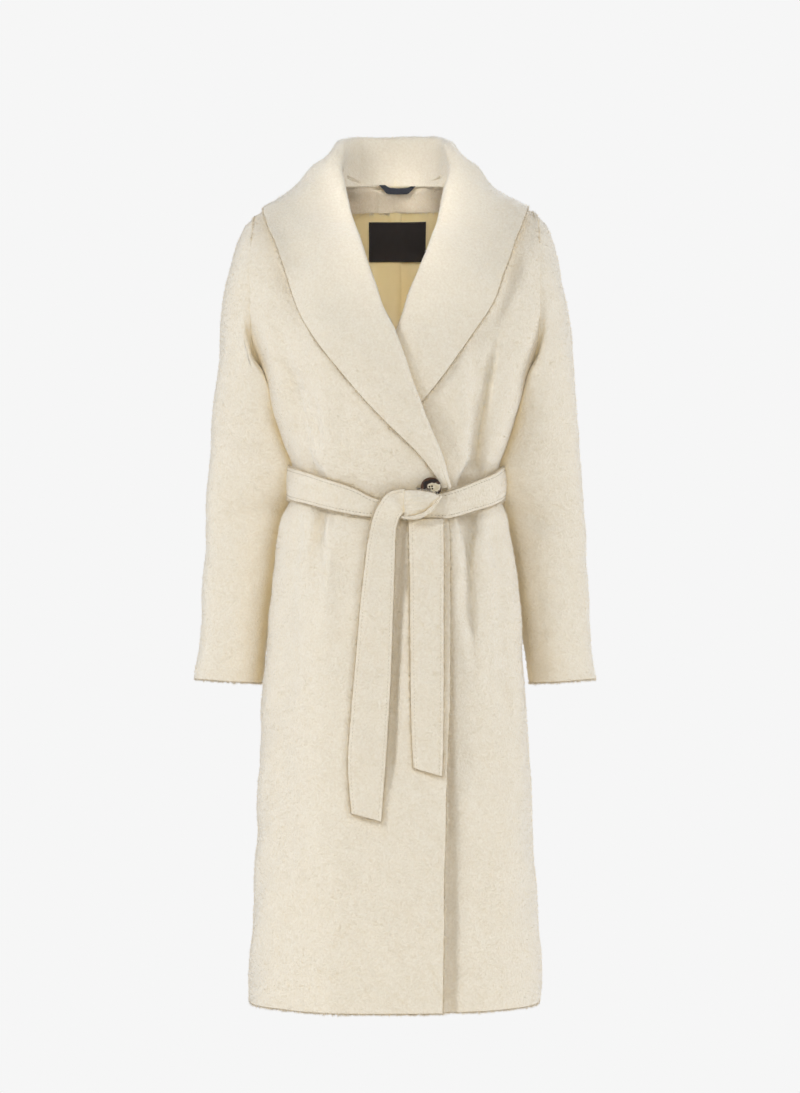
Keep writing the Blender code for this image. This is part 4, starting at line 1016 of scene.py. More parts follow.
@dataclass(frozen=True)
class Pile:
    """Short tufts that lean over the cloth, each a narrow blade with its root in the cloth."""

    per_square_cm: float = 20.0
    per_edge_cm: float = 105.0
    edge_length: float = 1.8
    length: Pair = (1.3 * MM, 2.7 * MM)
    blade: float = 0.75 * MM
    lean: float = 0.9
    sink: float = 0.35 * MM
    seed: int = 5
    cover_reach: float = 10.0 * MM
    edge_cover_reach: float = 7.0 * MM
    least_edge: float = 5.0 * MM
    edge_turn: Pair = (-0.6, 0.85)
    fall: Triple = (0.25, 0.0, -1.0)
    curl: Unevenness = Unevenness(22.0 * MM, 0.5, 21)
    clump: Unevenness = Unevenness(4.2 * MM, 0.22, 31, 14)
    clump_rise: float = 1.2 * MM

    def grow(self, name: str, wall: Wall, neighbours: "Neighbours", look: Material
             ) -> Object:
        """Grows the pile on a wall, apart from where something lies close over it.

        Args:
            name: the new object's name.
            wall: the wall, with its creases already in it.
            neighbours: the other pieces of the coat.
            look: the pile's material.

        Returns:
            The object, linked to the scene.
        """
        rng = np.random.default_rng(self.seed)
        outer, _ = wall.rounded()
        normals = wall.normals()
        cells = quads(outer)
        turns = quads(normals)
        size = np.linalg.norm(np.cross(cells[:, 2] - cells[:, 0], cells[:, 3] - cells[:, 1]), axis=1) / 2
        size = size * ~neighbours.near(wall.node, cells.mean(axis=1), turns.mean(axis=1), self.cover_reach)
        count = int(size.sum() * 1e4 * self.per_square_cm)
        pick = rng.choice(len(cells), count, p=size / size.sum())
        roots, facing = self.spread(cells[pick], turns[pick], rng)
        lean = self.heading(roots, facing, rng)
        sets = [(roots, facing, lean)]
        begin, end, out, up = wall.rims()
        middle = (begin + end) / 2.0
        open_side = ~neighbours.near(wall.node, middle - out * MM, out, SEAM_REACH)
        seen_side = ~neighbours.near(wall.node, middle, up, self.edge_cover_reach)
        share = np.linalg.norm(end - begin, axis=1) * seen_side
        if share.sum() > self.least_edge:
            count = int(share.sum() * 100.0 * self.per_edge_cm)
            pick = rng.choice(len(share), count, p=share / share.sum())
            place = begin[pick] + (end - begin)[pick] * rng.uniform(size=(count, 1))
            turn = rng.uniform(*self.edge_turn, size=(count, 1))
            turn = np.where(open_side[pick][:, None], turn, 0.55 + 0.45 * np.abs(turn))
            way = unit(out[pick] * (1.0 - np.abs(turn)) + up[pick] * turn)
            sets.append((place, way, self.heading(place, way, rng)))
        scale = np.repeat([1.0, self.edge_length], [len(sets[0][0]), sum(len(s[0]) for s in sets[1:])])
        roots, facing, lean = (np.concatenate(parts) for parts in zip(*sets))
        return self.blades(name, roots, facing, lean, scale[:, None], look, rng)

    @staticmethod
    def spread(cells: Array, turns: Array, rng: np.random.Generator
               ) -> tuple[Array, Array]:
        """A random place in each cell, and the way out of the cloth there.

        Args:
            cells: the corners of the cell that each tuft stands in.
            turns: the ways out of the cloth at those corners.
            rng: the random draws.

        Returns:
            The places and the ways out.
        """
        u, v = rng.uniform(size=(2, len(cells), 1))
        shares = ((1 - u) * (1 - v), u * (1 - v), u * v, (1 - u) * v)
        place = sum(share * cells[:, i] for i, share in enumerate(shares))
        facing = unit(sum(share * turns[:, i] for i, share in enumerate(shares)))
        return place, facing

    def heading(self, roots: Array, facing: Array, rng: np.random.Generator) -> Array:
        """The way each tuft lies over the cloth: in curls that drift, mostly downwards.

        Args:
            roots: where the tufts stand.
            facing: the way out of the cloth at each.
            rng: the random draws.

        Returns:
            One direction for each tuft.
        """
        fall = np.array(self.fall)
        down = unit(fall - facing * (facing @ fall)[:, None])
        side = np.cross(facing, down)
        angle = self.curl.at(roots) + rng.normal(scale=1.5, size=len(roots))
        return down * np.cos(angle)[:, None] + side * np.sin(angle)[:, None]

    def blades(self, name: str, roots: Array, facing: Array, lean: Array,
               scale: Array, look: Material, rng: np.random.Generator
               ) -> Object:
        """Makes one narrow blade for each root, leaning its own way.

        Args:
            name: the object's name.
            roots: where the blades stand.
            facing: the way out of the cloth at each.
            lean: the way each one leans.
            scale: the size of each, 1 for a full one.
            look: the material.
            rng: the random draws.

        Returns:
            The object.
        """
        count = len(roots)
        slant = self.lean * rng.uniform(0.55, 1.35, size=(count, 1))
        way = unit(facing + lean * slant)
        side = unit(np.cross(way, facing) + rng.normal(scale=0.35, size=(count, 3)))
        clump = self.clump.at(roots)[:, None]
        long = rng.uniform(*self.length, size=(count, 1)) * scale * (1.0 + clump)
        wide = self.blade * rng.uniform(0.7, 1.3, size=(count, 1)) / 2.0
        foot = roots + facing * (clump * self.clump_rise - self.sink)
        points = np.stack([foot - side * wide, foot + side * wide, foot + way * long], axis=1)
        plane = unit(np.cross(points[:, 1] - points[:, 0], points[:, 2] - points[:, 0]))
        under = (plane * facing).sum(axis=1) < 0
        points[under] = points[under][:, [1, 0, 2]]
        plane[under] *= -1.0
        shade = unit(facing + plane * 0.12 + rng.normal(scale=0.06, size=(count, 3)))
        faces = np.arange(count * 3).reshape(-1, 3)
        # Each tuft's tone is partly random and partly painted light: tufts in raised clumps are painted
        # paler, those in the hollows between clumps darker.
        tone = np.clip(rng.uniform(0.1, 0.9, size=(count, 1)) + clump * 0.9, 0.0, 1.0)
        uv = np.stack([np.repeat(tone, 3, axis=1), np.tile([0.0, 0.0, 1.0], (count, 1))], axis=-1)
        mesh = bpy.data.meshes.new(name)
        fill_mesh(mesh, points.reshape(-1, 3), faces, uv.reshape(-1, 2))
        mesh.normals_split_custom_set_from_vertices(np.repeat(shade, 3, axis=0).tolist())
        mesh.materials.append(look)
        return add_object(name, mesh)


# Finishes

BLACK = (0.0, 0.0, 0.0)
WHITE = (1.0, 1.0, 1.0)


class Nodes:
    """A material's nodes, added one at a time round one shader."""

    def __init__(self, name: str) -> None:
        """Makes the material with its shader and output.

        Args:
            name: the material's name.
        """
        self.material = bpy.data.materials.new(name)
        self.material.use_nodes = True
        self.tree = self.material.node_tree
        self.tree.nodes.clear()
        self.shader = self.add("ShaderNodeBsdfPrincipled")
        self.output = self.add("ShaderNodeOutputMaterial", {"Surface": self.shader.outputs[0]})

    def add(self, kind: str, inputs: dict | None = None, **settings: object) -> bpy.types.Node:
        """Adds a node.

        Args:
            kind: the node's type.
            inputs: what its sockets are given, by name or number.
            **settings: its own settings.

        Returns:
            The node.
        """
        node = self.tree.nodes.new(kind)
        for name, value in settings.items():
            setattr(node, name, value)
        for key, value in (inputs or {}).items():
            self.feed(value, node.inputs[key])
        return node

    def feed(self, value: object, target: Socket) -> None:
        """Gives a socket another socket's value, a colour or a number.

        Args:
            value: what the socket is given.
            target: the socket.
        """
        if isinstance(value, Socket):
            self.tree.links.new(value, target)
        else:
            target.default_value = (*value, 1.0) if target.type == "RGBA" else value

    def set(self, **values: object) -> None:
        """Sets the shader's own sockets."""
        for name, value in values.items():
            self.feed(value, self.shader.inputs[name.replace("_", " ")])

    def colour(self, source: Socket) -> None:
        """Gives the surface its colour."""
        self.feed(source, self.shader.inputs["Base Color"])

    def place(self) -> Socket:
        """Where a point lies on the coat."""
        return self.add("ShaderNodeTexCoord").outputs["Object"]

    def along_cloth(self) -> Socket:
        """Where a point lies on its own cut piece."""
        return self.add("ShaderNodeUVMap", uv_map="UVMap").outputs[0]

    def parts(self, at: Socket) -> tuple[Socket, ...]:
        """The x, y and z of a place."""
        return tuple(self.add("ShaderNodeSeparateXYZ", {0: at}).outputs)

    def noise(self, at: Socket, size: float, detail: float = 2.0,
              rough: float = 0.5) -> Socket:
        """A random pattern, whose spots are about this large."""
        inputs = {"Vector": at, "Scale": 0.5 / size, "Detail": detail, "Roughness": rough}
        return self.add("ShaderNodeTexNoise", inputs).outputs["Fac"]

    def scaled(self, at: Socket, scale: Triple) -> Socket:
        """The same place, stretched."""
        return self.add("ShaderNodeMapping", {"Vector": at, "Scale": scale}).outputs[0]

    def waves(self, at: Socket, pitch: float, direction: str) -> Socket:
        """Ribs at this pitch."""
        inputs = {"Vector": at, "Scale": math.pi / 10.0 / pitch, "Distortion": 0.4, "Detail": 0.0}
        return self.add("ShaderNodeTexWave", inputs, bands_direction=direction).outputs["Fac"]

    def math(self, kind: str, one: Socket, other: object = 0.0) -> Socket:
        """Two values, joined by arithmetic."""
        return self.add("ShaderNodeMath", {0: one, 1: other}, operation=kind).outputs[0]

    def ramp(self, value: Socket, stops: tuple[tuple[float, tuple[float, ...]], ...]
             ) -> Socket:
        """Colours along a value.

        Args:
            value: what is looked up.
            stops: the places along it, with the colour at each.

        Returns:
            The colour.
        """
        node = self.add("ShaderNodeValToRGB", {0: value})
        marks = node.color_ramp.elements
        while len(marks) < len(stops):
            marks.new(0.5)
        for mark, (where, colour) in zip(marks, stops):
            mark.position = where
            mark.color = (*colour, 1.0)
        return node.outputs[0]

    def blend(self, share: object, one: object, other: object, kind: str = "MIX"
              ) -> Socket:
        """Two colours, mixed by a share."""
        inputs = {0: share, 6: one, 7: other}
        return self.add("ShaderNodeMix", inputs, data_type="RGBA", blend_type=kind).outputs[2]

    def bump(self, height: Socket, depth: float, strength: float = 1.0) -> None:
        """Raises the surface by a pattern."""
        inputs = {"Height": height, "Distance": depth, "Strength": strength}
        self.feed(self.add("ShaderNodeBump", inputs).outputs[0], self.shader.inputs["Normal"])

    def painted_crevice_shade(self, colour: Socket, deep: tuple[float, ...], reach: float
                 ) -> Socket:
        """Paints shade into crevices: turns a colour to a deeper one where other cloth stands closer than
        the reach.
        """
        around = self.add("ShaderNodeAmbientOcclusion", {"Distance": reach}, samples=5).outputs["AO"]
        return self.blend(self.ramp(around, ((0.12, BLACK), (0.62, WHITE))), deep, colour)

    def let_light_through(self, colour: Socket, share: float) -> None:
        """Lets a share of the light through to the other side, in this colour.

        Args:
            colour: the colour of that light.
            share: how much of it goes through.
        """
        through = self.add("ShaderNodeBsdfTranslucent", {"Color": colour}).outputs[0]
        both = self.add("ShaderNodeMixShader", {0: share, 1: self.shader.outputs[0], 2: through})
        self.feed(both.outputs[0], self.output.inputs["Surface"])


@dataclass(frozen=True)
class Wool:
    """Cream wool with a deep, felted nap and painted shade in its crevices. Blades is for the tufts, which
    are paler at their tips and painted darker at their roots for the shade there.
    """

    name: str
    light: Triple = (0.95, 0.85, 0.67)
    shade: Triple = (0.88, 0.765, 0.575)
    # Root is painted shade: the darker colour at the foot of each tuft, for the shade down in the pile.
    root: Triple = (0.86, 0.73, 0.52)
    # Deep is painted crevice shade: the warm golden tone of creases and gaps lit by bounced light, painted
    # where other cloth stands within the reach.
    deep: Triple = (0.99, 0.84, 0.54)
    dull_tuft: Triple = (0.87, 0.76, 0.575)
    bright_tuft: Triple = (0.98, 0.89, 0.73)
    painted_crevice_reach: float = 22.0 * MM
    sheen: float = 1.0
    through: float = 0.45
    blades: bool = False

    def make(self) -> Material:
        """Makes the material.

        Returns:
            The material.
        """
        nodes = Nodes(self.name)
        place = nodes.place()
        fine = nodes.noise(place, 1.6 * MM, 3.0, 0.6)
        broad = nodes.noise(place, 14.0 * MM, 2.0)
        value = nodes.math("ADD", nodes.math("MULTIPLY", fine, 0.85), nodes.math("MULTIPLY", broad, 0.15))
        cloth = nodes.ramp(value, ((0.36, self.shade), (0.64, self.light)))
        if self.blades:
            shade_of_tuft, tip, _ = nodes.parts(nodes.along_cloth())
            tone = nodes.ramp(shade_of_tuft, ((0.0, self.dull_tuft), (1.0, self.bright_tuft)))
            cloth = nodes.blend(nodes.math("MULTIPLY", fine, 0.7), tone, cloth)
            # Painted shade: each tuft runs towards the darker root colour near its foot, where the pile
            # shades itself.
            painted_root_shade_share = nodes.math("MULTIPLY", nodes.math("SUBTRACT", tip, 1.0), -0.75)
            deep = nodes.ramp(fine, ((0.3, self.root), (0.7, self.shade)))
            cloth = nodes.blend(painted_root_shade_share, cloth, deep)
            nodes.let_light_through(tone, self.through)
        else:
            nodes.bump(fine, 1.6 * MM, 0.9)
        # Painted shade: creases, crevices and gaps between pieces are turned towards the deep colour where
        # ambient occlusion finds cloth close by.
        nodes.colour(nodes.painted_crevice_shade(cloth, self.deep, self.painted_crevice_reach))
        nodes.set(Roughness=0.92, Sheen_Weight=self.sheen, Sheen_Roughness=0.5)
        nodes.set(Sheen_Tint=(1.0, 0.98, 0.93), Specular_IOR_Level=0.15)
        return nodes.material


@dataclass(frozen=True)
class Satin:
    """Golden lining satin, with the fine rib of its weave."""

    name: str
    light: Triple = (0.97, 0.79, 0.43)
    shade: Triple = (0.95, 0.75, 0.37)
    roughness: float = 0.42

    def make(self) -> Material:
        """Makes the material.

        Returns:
            The material.
        """
        nodes = Nodes(self.name)
        cloth = nodes.along_cloth()
        streaks = nodes.noise(nodes.scaled(cloth, (1.6, 1.0, 1.0)), 26.0 * MM, 2.0)
        nodes.colour(nodes.ramp(streaks, ((0.3, self.shade), (0.7, self.light))))
        weft, warp = nodes.waves(cloth, 0.35 * MM, "X"), nodes.waves(cloth, 0.5 * MM, "Y")
        nodes.bump(nodes.math("ADD", weft, nodes.math("MULTIPLY", warp, 0.6)), 0.06 * MM, 0.6)
        nodes.set(Roughness=self.roughness, Specular_IOR_Level=0.5, Anisotropic=0.3)
        nodes.set(Sheen_Weight=0.15, Sheen_Roughness=0.3)
        return nodes.material


@dataclass(frozen=True)
class Woven:
    """A close woven ribbon or label, with crossing ribs."""

    name: str
    light: Triple
    shade: Triple
    rib: float = 0.45 * MM
    roughness: float = 0.6

    def make(self) -> Material:
        """Makes the material.

        Returns:
            The material.
        """
        nodes = Nodes(self.name)
        place = nodes.place()
        ribs = nodes.waves(place, self.rib, "X")
        rows = nodes.waves(place, self.rib * 1.3, "Z")
        weave = nodes.math("MULTIPLY", ribs, rows)
        worn = nodes.math("ADD", nodes.math("MULTIPLY", weave, 0.6),
                          nodes.math("MULTIPLY", nodes.noise(place, 6.0 * MM), 0.4))
        nodes.colour(nodes.ramp(worn, ((0.15, self.shade), (0.75, self.light))))
        nodes.bump(weave, 0.12 * MM, 0.9)
        nodes.set(Roughness=self.roughness, Sheen_Weight=0.2, Sheen_Roughness=0.4)
        return nodes.material


@dataclass(frozen=True)
class Thread:
    """Twisted sewing thread."""

    name: str
    light: Triple = (0.82, 0.73, 0.56)
    shade: Triple = (0.68, 0.57, 0.40)

    def make(self) -> Material:
        """Makes the material.

        Returns:
            The material.
        """
        nodes = Nodes(self.name)
        place = nodes.place()
        twist = nodes.noise(place, 0.5 * MM, 1.0)
        nodes.colour(nodes.ramp(twist, ((0.35, self.shade), (0.65, self.light))))
        nodes.bump(twist, 0.2 * MM, 0.6)
        nodes.set(Roughness=0.7, Sheen_Weight=0.2)
        return nodes.material


@dataclass(frozen=True)
class Horn:
    """Mottled horn: cream in the middle, with brown and black towards the rim, and painted shade in its sunk
    holes.
    """

    name: str
    cream: Triple = (0.60, 0.49, 0.30)
    pale: Triple = (0.74, 0.65, 0.46)
    front: float = -0.1589
    brown: Triple = (0.085, 0.036, 0.014)
    black: Triple = (0.016, 0.009, 0.005)
    middle: Pair = (0.0542, -0.4285)
    radius: float = 14.5 * MM
    wander: float = 1.25

    def make(self) -> Material:
        """Makes the material.

        Returns:
            The material.
        """
        nodes = Nodes(self.name)
        place = nodes.place()
        x, y, z = nodes.parts(place)
        aside = nodes.math("POWER", nodes.math("SUBTRACT", x, self.middle[0]), 2.0)
        above = nodes.math("POWER", nodes.math("SUBTRACT", z, self.middle[1]), 2.0)
        far = nodes.math("DIVIDE", nodes.math("SQRT", nodes.math("ADD", aside, above)), self.radius)
        wander = nodes.math("SUBTRACT", nodes.noise(place, 6.0 * MM, 3.0, 0.6), 0.5)
        value = nodes.math("ADD", far, nodes.math("MULTIPLY", wander, self.wander))
        stops = ((0.0, self.pale), (0.28, self.cream), (0.5, self.pale), (0.57, self.brown),
                 (0.66, self.black), (0.86, self.black), (0.98, self.brown))
        # Painted shade: where the surface sinks deep, as in the four thread holes, it is painted brown for
        # the shade inside them; near keeps this to the middle.
        sunk = nodes.math("MULTIPLY", nodes.math("SUBTRACT", y, self.front), 0.28 / MM)
        painted_hole_shade = nodes.ramp(sunk, ((0.0, WHITE), (0.42, WHITE), (0.7, self.brown)))
        near = nodes.ramp(far, ((0.0, BLACK), (0.5, BLACK), (0.54, WHITE)))
        painted_hole_shade_in_middle = nodes.blend(1.0, painted_hole_shade, near, "LIGHTEN")
        nodes.colour(nodes.blend(1.0, nodes.ramp(value, stops), painted_hole_shade_in_middle, "MULTIPLY"))
        nodes.bump(nodes.noise(place, 1.2 * MM, 2.0), 0.1 * MM, 0.3)
        nodes.set(Roughness=0.42, Specular_IOR_Level=0.3)
        return nodes.material


@dataclass(frozen=True)
class StudioPaint:
    """The floor's pale matt paint."""

    name: str
    colour: Triple = (0.90, 0.86, 0.79)

    def make(self) -> Material:
        """Makes the material.

        Returns:
            The material.
        """
        nodes = Nodes(self.name)
        spots = nodes.noise(nodes.place(), 0.3)
        dull = tuple(0.985 * c for c in self.colour)
        nodes.colour(nodes.ramp(spots, ((0.3, dull), (0.7, self.colour))))
        nodes.set(Roughness=0.9, Specular_IOR_Level=0.2)
        return nodes.material


class Finishes:
    """All materials of the coat, made once."""

    def __init__(self) -> None:
        """Makes them."""
        # Painted shade: a warmer, more golden copy of the wool for the facing, painted for the shade and
        # warm bounced light down inside the neck.
        painted_shade_tones = {"light": (0.97, 0.86, 0.68), "shade": (0.91, 0.77, 0.57), "root": (0.84, 0.69, 0.48),
                "dull_tuft": (0.85, 0.73, 0.53), "bright_tuft": (0.97, 0.90, 0.75)}
        self.wool = Wool("cream_wool_cloth").make()
        self.nap = Wool("cream_wool_nap", blades=True).make()
        self.painted_shade_wool = Wool("cream_wool_painted_shade_cloth", **painted_shade_tones).make()
        self.painted_shade_nap = Wool("cream_wool_painted_shade_nap", **painted_shade_tones, blades=True).make()
        self.satin = Satin("golden_satin").make()
        self.label = Woven("black_woven_label", (0.026, 0.019, 0.018), (0.010, 0.007, 0.0065)).make()
        self.ribbon = Woven("navy_ribbon", (0.024, 0.026, 0.038), (0.009, 0.010, 0.016)).make()
        self.thread = Thread("beige_thread").make()
        self.tan_thread = Thread("tan_thread", (0.58, 0.49, 0.34), (0.42, 0.34, 0.22)).make()
        self.dark_thread = Thread("dark_thread", (0.10, 0.07, 0.045), (0.05, 0.035, 0.022)).make()
        self.horn = Horn("mottled_horn", front=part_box("button")[0][1]).make()
        self.paint = StudioPaint("pale_floor_paint").make()


# Small solid trims

def ring_sweep(path: Array, across: Array, half_width: Array, half_depth: Array,
               sides: int = 12) -> tuple[Array, Array]:
    """Sweeps an oval along a path, closed at both ends.

    Args:
        path: points along the middle.
        across: at each point, the way of the oval's width.
        half_width: half the oval's width at each point.
        half_depth: half its depth at each point.
        sides: how many points go round it.

    Returns:
        The points and the four-cornered faces.
    """
    along = unit(np.gradient(path, axis=0))
    out = unit(np.cross(along, across))
    wide = unit(np.cross(out, along))
    turn = np.linspace(0.0, 2.0 * math.pi, sides, endpoint=False)
    points = (
        path[:, None]
        + wide[:, None] * (half_width[:, None] * np.cos(turn))[..., None]
        + out[:, None] * (half_depth[:, None] * np.sin(turn))[..., None]
    )
    number = np.arange(len(path) * sides).reshape(len(path), sides)
    return points.reshape(-1, 3), quads(joined_rings(number))


def rounded_ends(length: float, radius: float, step: float) -> tuple[Array, Array]:
    """Places along a bar with round ends, and the share of its radius there.

    Args:
        length: the bar's whole length.
        radius: its radius.
        step: the places' spacing.

    Returns:
        The places, and one share for each.
    """
    turn = np.linspace(0.08, math.pi / 2.0, 5)
    cap = radius * (1.0 - np.cos(turn))
    middle = np.linspace(radius, length - radius, max(2, round(length / step)) + 1)
    place = np.concatenate([cap[:-1], middle, length - cap[-2::-1]])
    share = np.concatenate([np.sin(turn)[:-1], np.ones(len(middle)), np.sin(turn)[-2::-1]])
    return place, share


def mesh_object(name: str, points: Array, faces: Array, look: Material
                ) -> Object:
    """Makes an object of four-cornered faces with one material, from the points that they use.

    Args:
        name: its name.
        points: the points.
        faces: the four points of each face.
        look: the material.

    Returns:
        The object.
    """
    mesh = bpy.data.meshes.new(name)
    used, numbers = np.unique(faces, return_inverse=True)
    flat = points[faces][..., [0, 2]]
    fill_mesh(mesh, points[used], numbers.reshape(faces.shape), flat.reshape(-1, 2))
    mesh.materials.append(look)
    return add_object(name, mesh)


@dataclass(frozen=True)
class Stitching:
    """A row of sewn stitches, each a short bar of thread half sunk into the cloth."""

    length: float = 3.2 * MM
    pitch: float = 5.0 * MM
    radius: float = 0.42 * MM
    wander: float = 0.25 * MM

    def along(self, lines: list[Array], outward: list[Array], seed: int = 3
              ) -> tuple[Array, Array]:
        """Sews along lines, each with the way out of the cloth at its points.

        Args:
            lines: the points of each line.
            outward: the way out of the cloth at each point.
            seed: what the random draws start from.

        Returns:
            The points and the faces of the thread.
        """
        rng = np.random.default_rng(seed)
        points, faces, start = [], [], 0
        ends = np.array([0.04, 0.5]) * self.radius
        place = np.array([*ends, self.length / 2.0, *(self.length - ends[::-1])])
        share = np.array([0.25, 0.85, 1.0, 0.85, 0.25])
        arch = np.sin(np.clip(place / self.length, 0.0, 1.0) * math.pi)[:, None]
        for line, out in zip(lines, outward):
            run = line_length(line)
            for first in np.arange(0.5 * self.pitch, run[-1] - self.pitch, self.pitch):
                at = first + rng.normal(scale=self.wander) + place
                middle = np.stack([np.interp(at, run, line[:, i]) for i in range(3)], axis=1)
                up = unit(np.stack([np.interp(at, run, out[:, i]) for i in range(3)], axis=1))
                middle = middle + up * (arch * self.radius - 0.35 * self.radius)
                side = np.cross(up, np.gradient(middle, axis=0))
                bar, cells = ring_sweep(middle, side, self.radius * share, self.radius * share * 0.9, 5)
                points.append(bar)
                faces.append(cells + start)
                start += len(bar)
        return np.concatenate(points), np.concatenate(faces)


# The photograph's own measures

PHOTO_SCALE = 1.42 * MM
PHOTO_AXIS = 395.0
PHOTO_MIDDLE = 546.0
CAMERA = (7.1 * MM, -6.0, -0.511)


def seen(depth: float, *pixels: Pair) -> Path:
    """Places in the photograph, as x and z on a plane at this depth."""
    scale = PHOTO_SCALE * (depth - CAMERA[1]) / -CAMERA[1]
    return tuple(((x - PHOTO_AXIS) * scale, CAMERA[2] + (PHOTO_MIDDLE - y) * scale) for x, y in pixels)


def seen_height(depth: Array, row: float) -> Array:
    """The height, at each depth, of what the photograph shows on one of its rows."""
    return CAMERA[2] + (PHOTO_MIDDLE - row) * (PHOTO_SCALE * (depth - CAMERA[1]) / -CAMERA[1])


SWELLS = (Unevenness(110.0 * MM, 1.4 * MM, 11), Unevenness(52.0 * MM, 0.4 * MM, 12))
FINE_SWELL = Unevenness(21.0 * MM, 0.10 * MM, 13)


@dataclass
class Cloth:
    """One cut piece of cloth: how it is held, and what is grown and sewn on it."""

    node: str
    thickness: float
    spacing: float
    look: Material
    hidden_look: Material
    held: str = "hung"
    rests_on: tuple[str, ...] = ()
    slot: str = "cream_wool"
    shown: Shown = Shown.OUTSIDE
    creases: tuple[Crease, ...] = ()
    pile: Pile | None = None
    pile_look: Material | None = None
    pile_depth: float = PILE_DEPTH
    turned_in: float = 0.0
    across_spacing: float = 0.0
    extras: list[Object] = field(default_factory=list)
    swells: tuple[Unevenness, ...] = (*SWELLS, FINE_SWELL)
    carrier_creases: tuple[Crease, ...] = ()
    inside_back: bool = False

    def __post_init__(self) -> None:
        """Reads and creases the piece's wall."""
        depth = self.pile_depth if self.pile else 0.0
        self.wall = Wall(self.node, self.thickness, self.spacing, self.shown, depth, self.across_spacing)
        if self.carrier_creases:
            self.wall.follow(self.carrier_creases)
        if self.creases:
            self.wall.crease(self.creases)
        self.wall.swell(-1.0 if self.inside_back else 1.0, *self.swells)

    def add(self, piece: Object, slot: str) -> None:
        """Takes a small piece as one that goes with this cloth.

        Args:
            piece: the small piece.
            slot: not used.
        """
        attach(piece, BODY)
        self.extras.append(piece)

    def make(self, neighbours: Neighbours) -> Object:
        """Args:
            neighbours: the other pieces.

        Returns:
            The cloth's object.
        """
        self.wall.find_sewn(neighbours)
        piece = self.wall.build(f"{self.node}_cloth", self.look, self.hidden_look, self.turned_in)
        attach(piece, BODY)
        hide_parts(self.node)
        if self.pile:
            self.add(self.pile.grow(f"{self.node}_nap", self.wall, neighbours, self.pile_look), self.slot)
        faces = [len(one.data.polygons) for one in (piece, *self.extras)]
        log.info("%s: %d faces, and %s on it", piece.name, faces[0], faces[1:])
        return piece


# The coat's sub-assemblies

@dataclass
class SubAssembly:
    """What each sub-assembly has at hand: the materials, and the other pieces round it."""

    finishes: Finishes
    neighbours: Neighbours


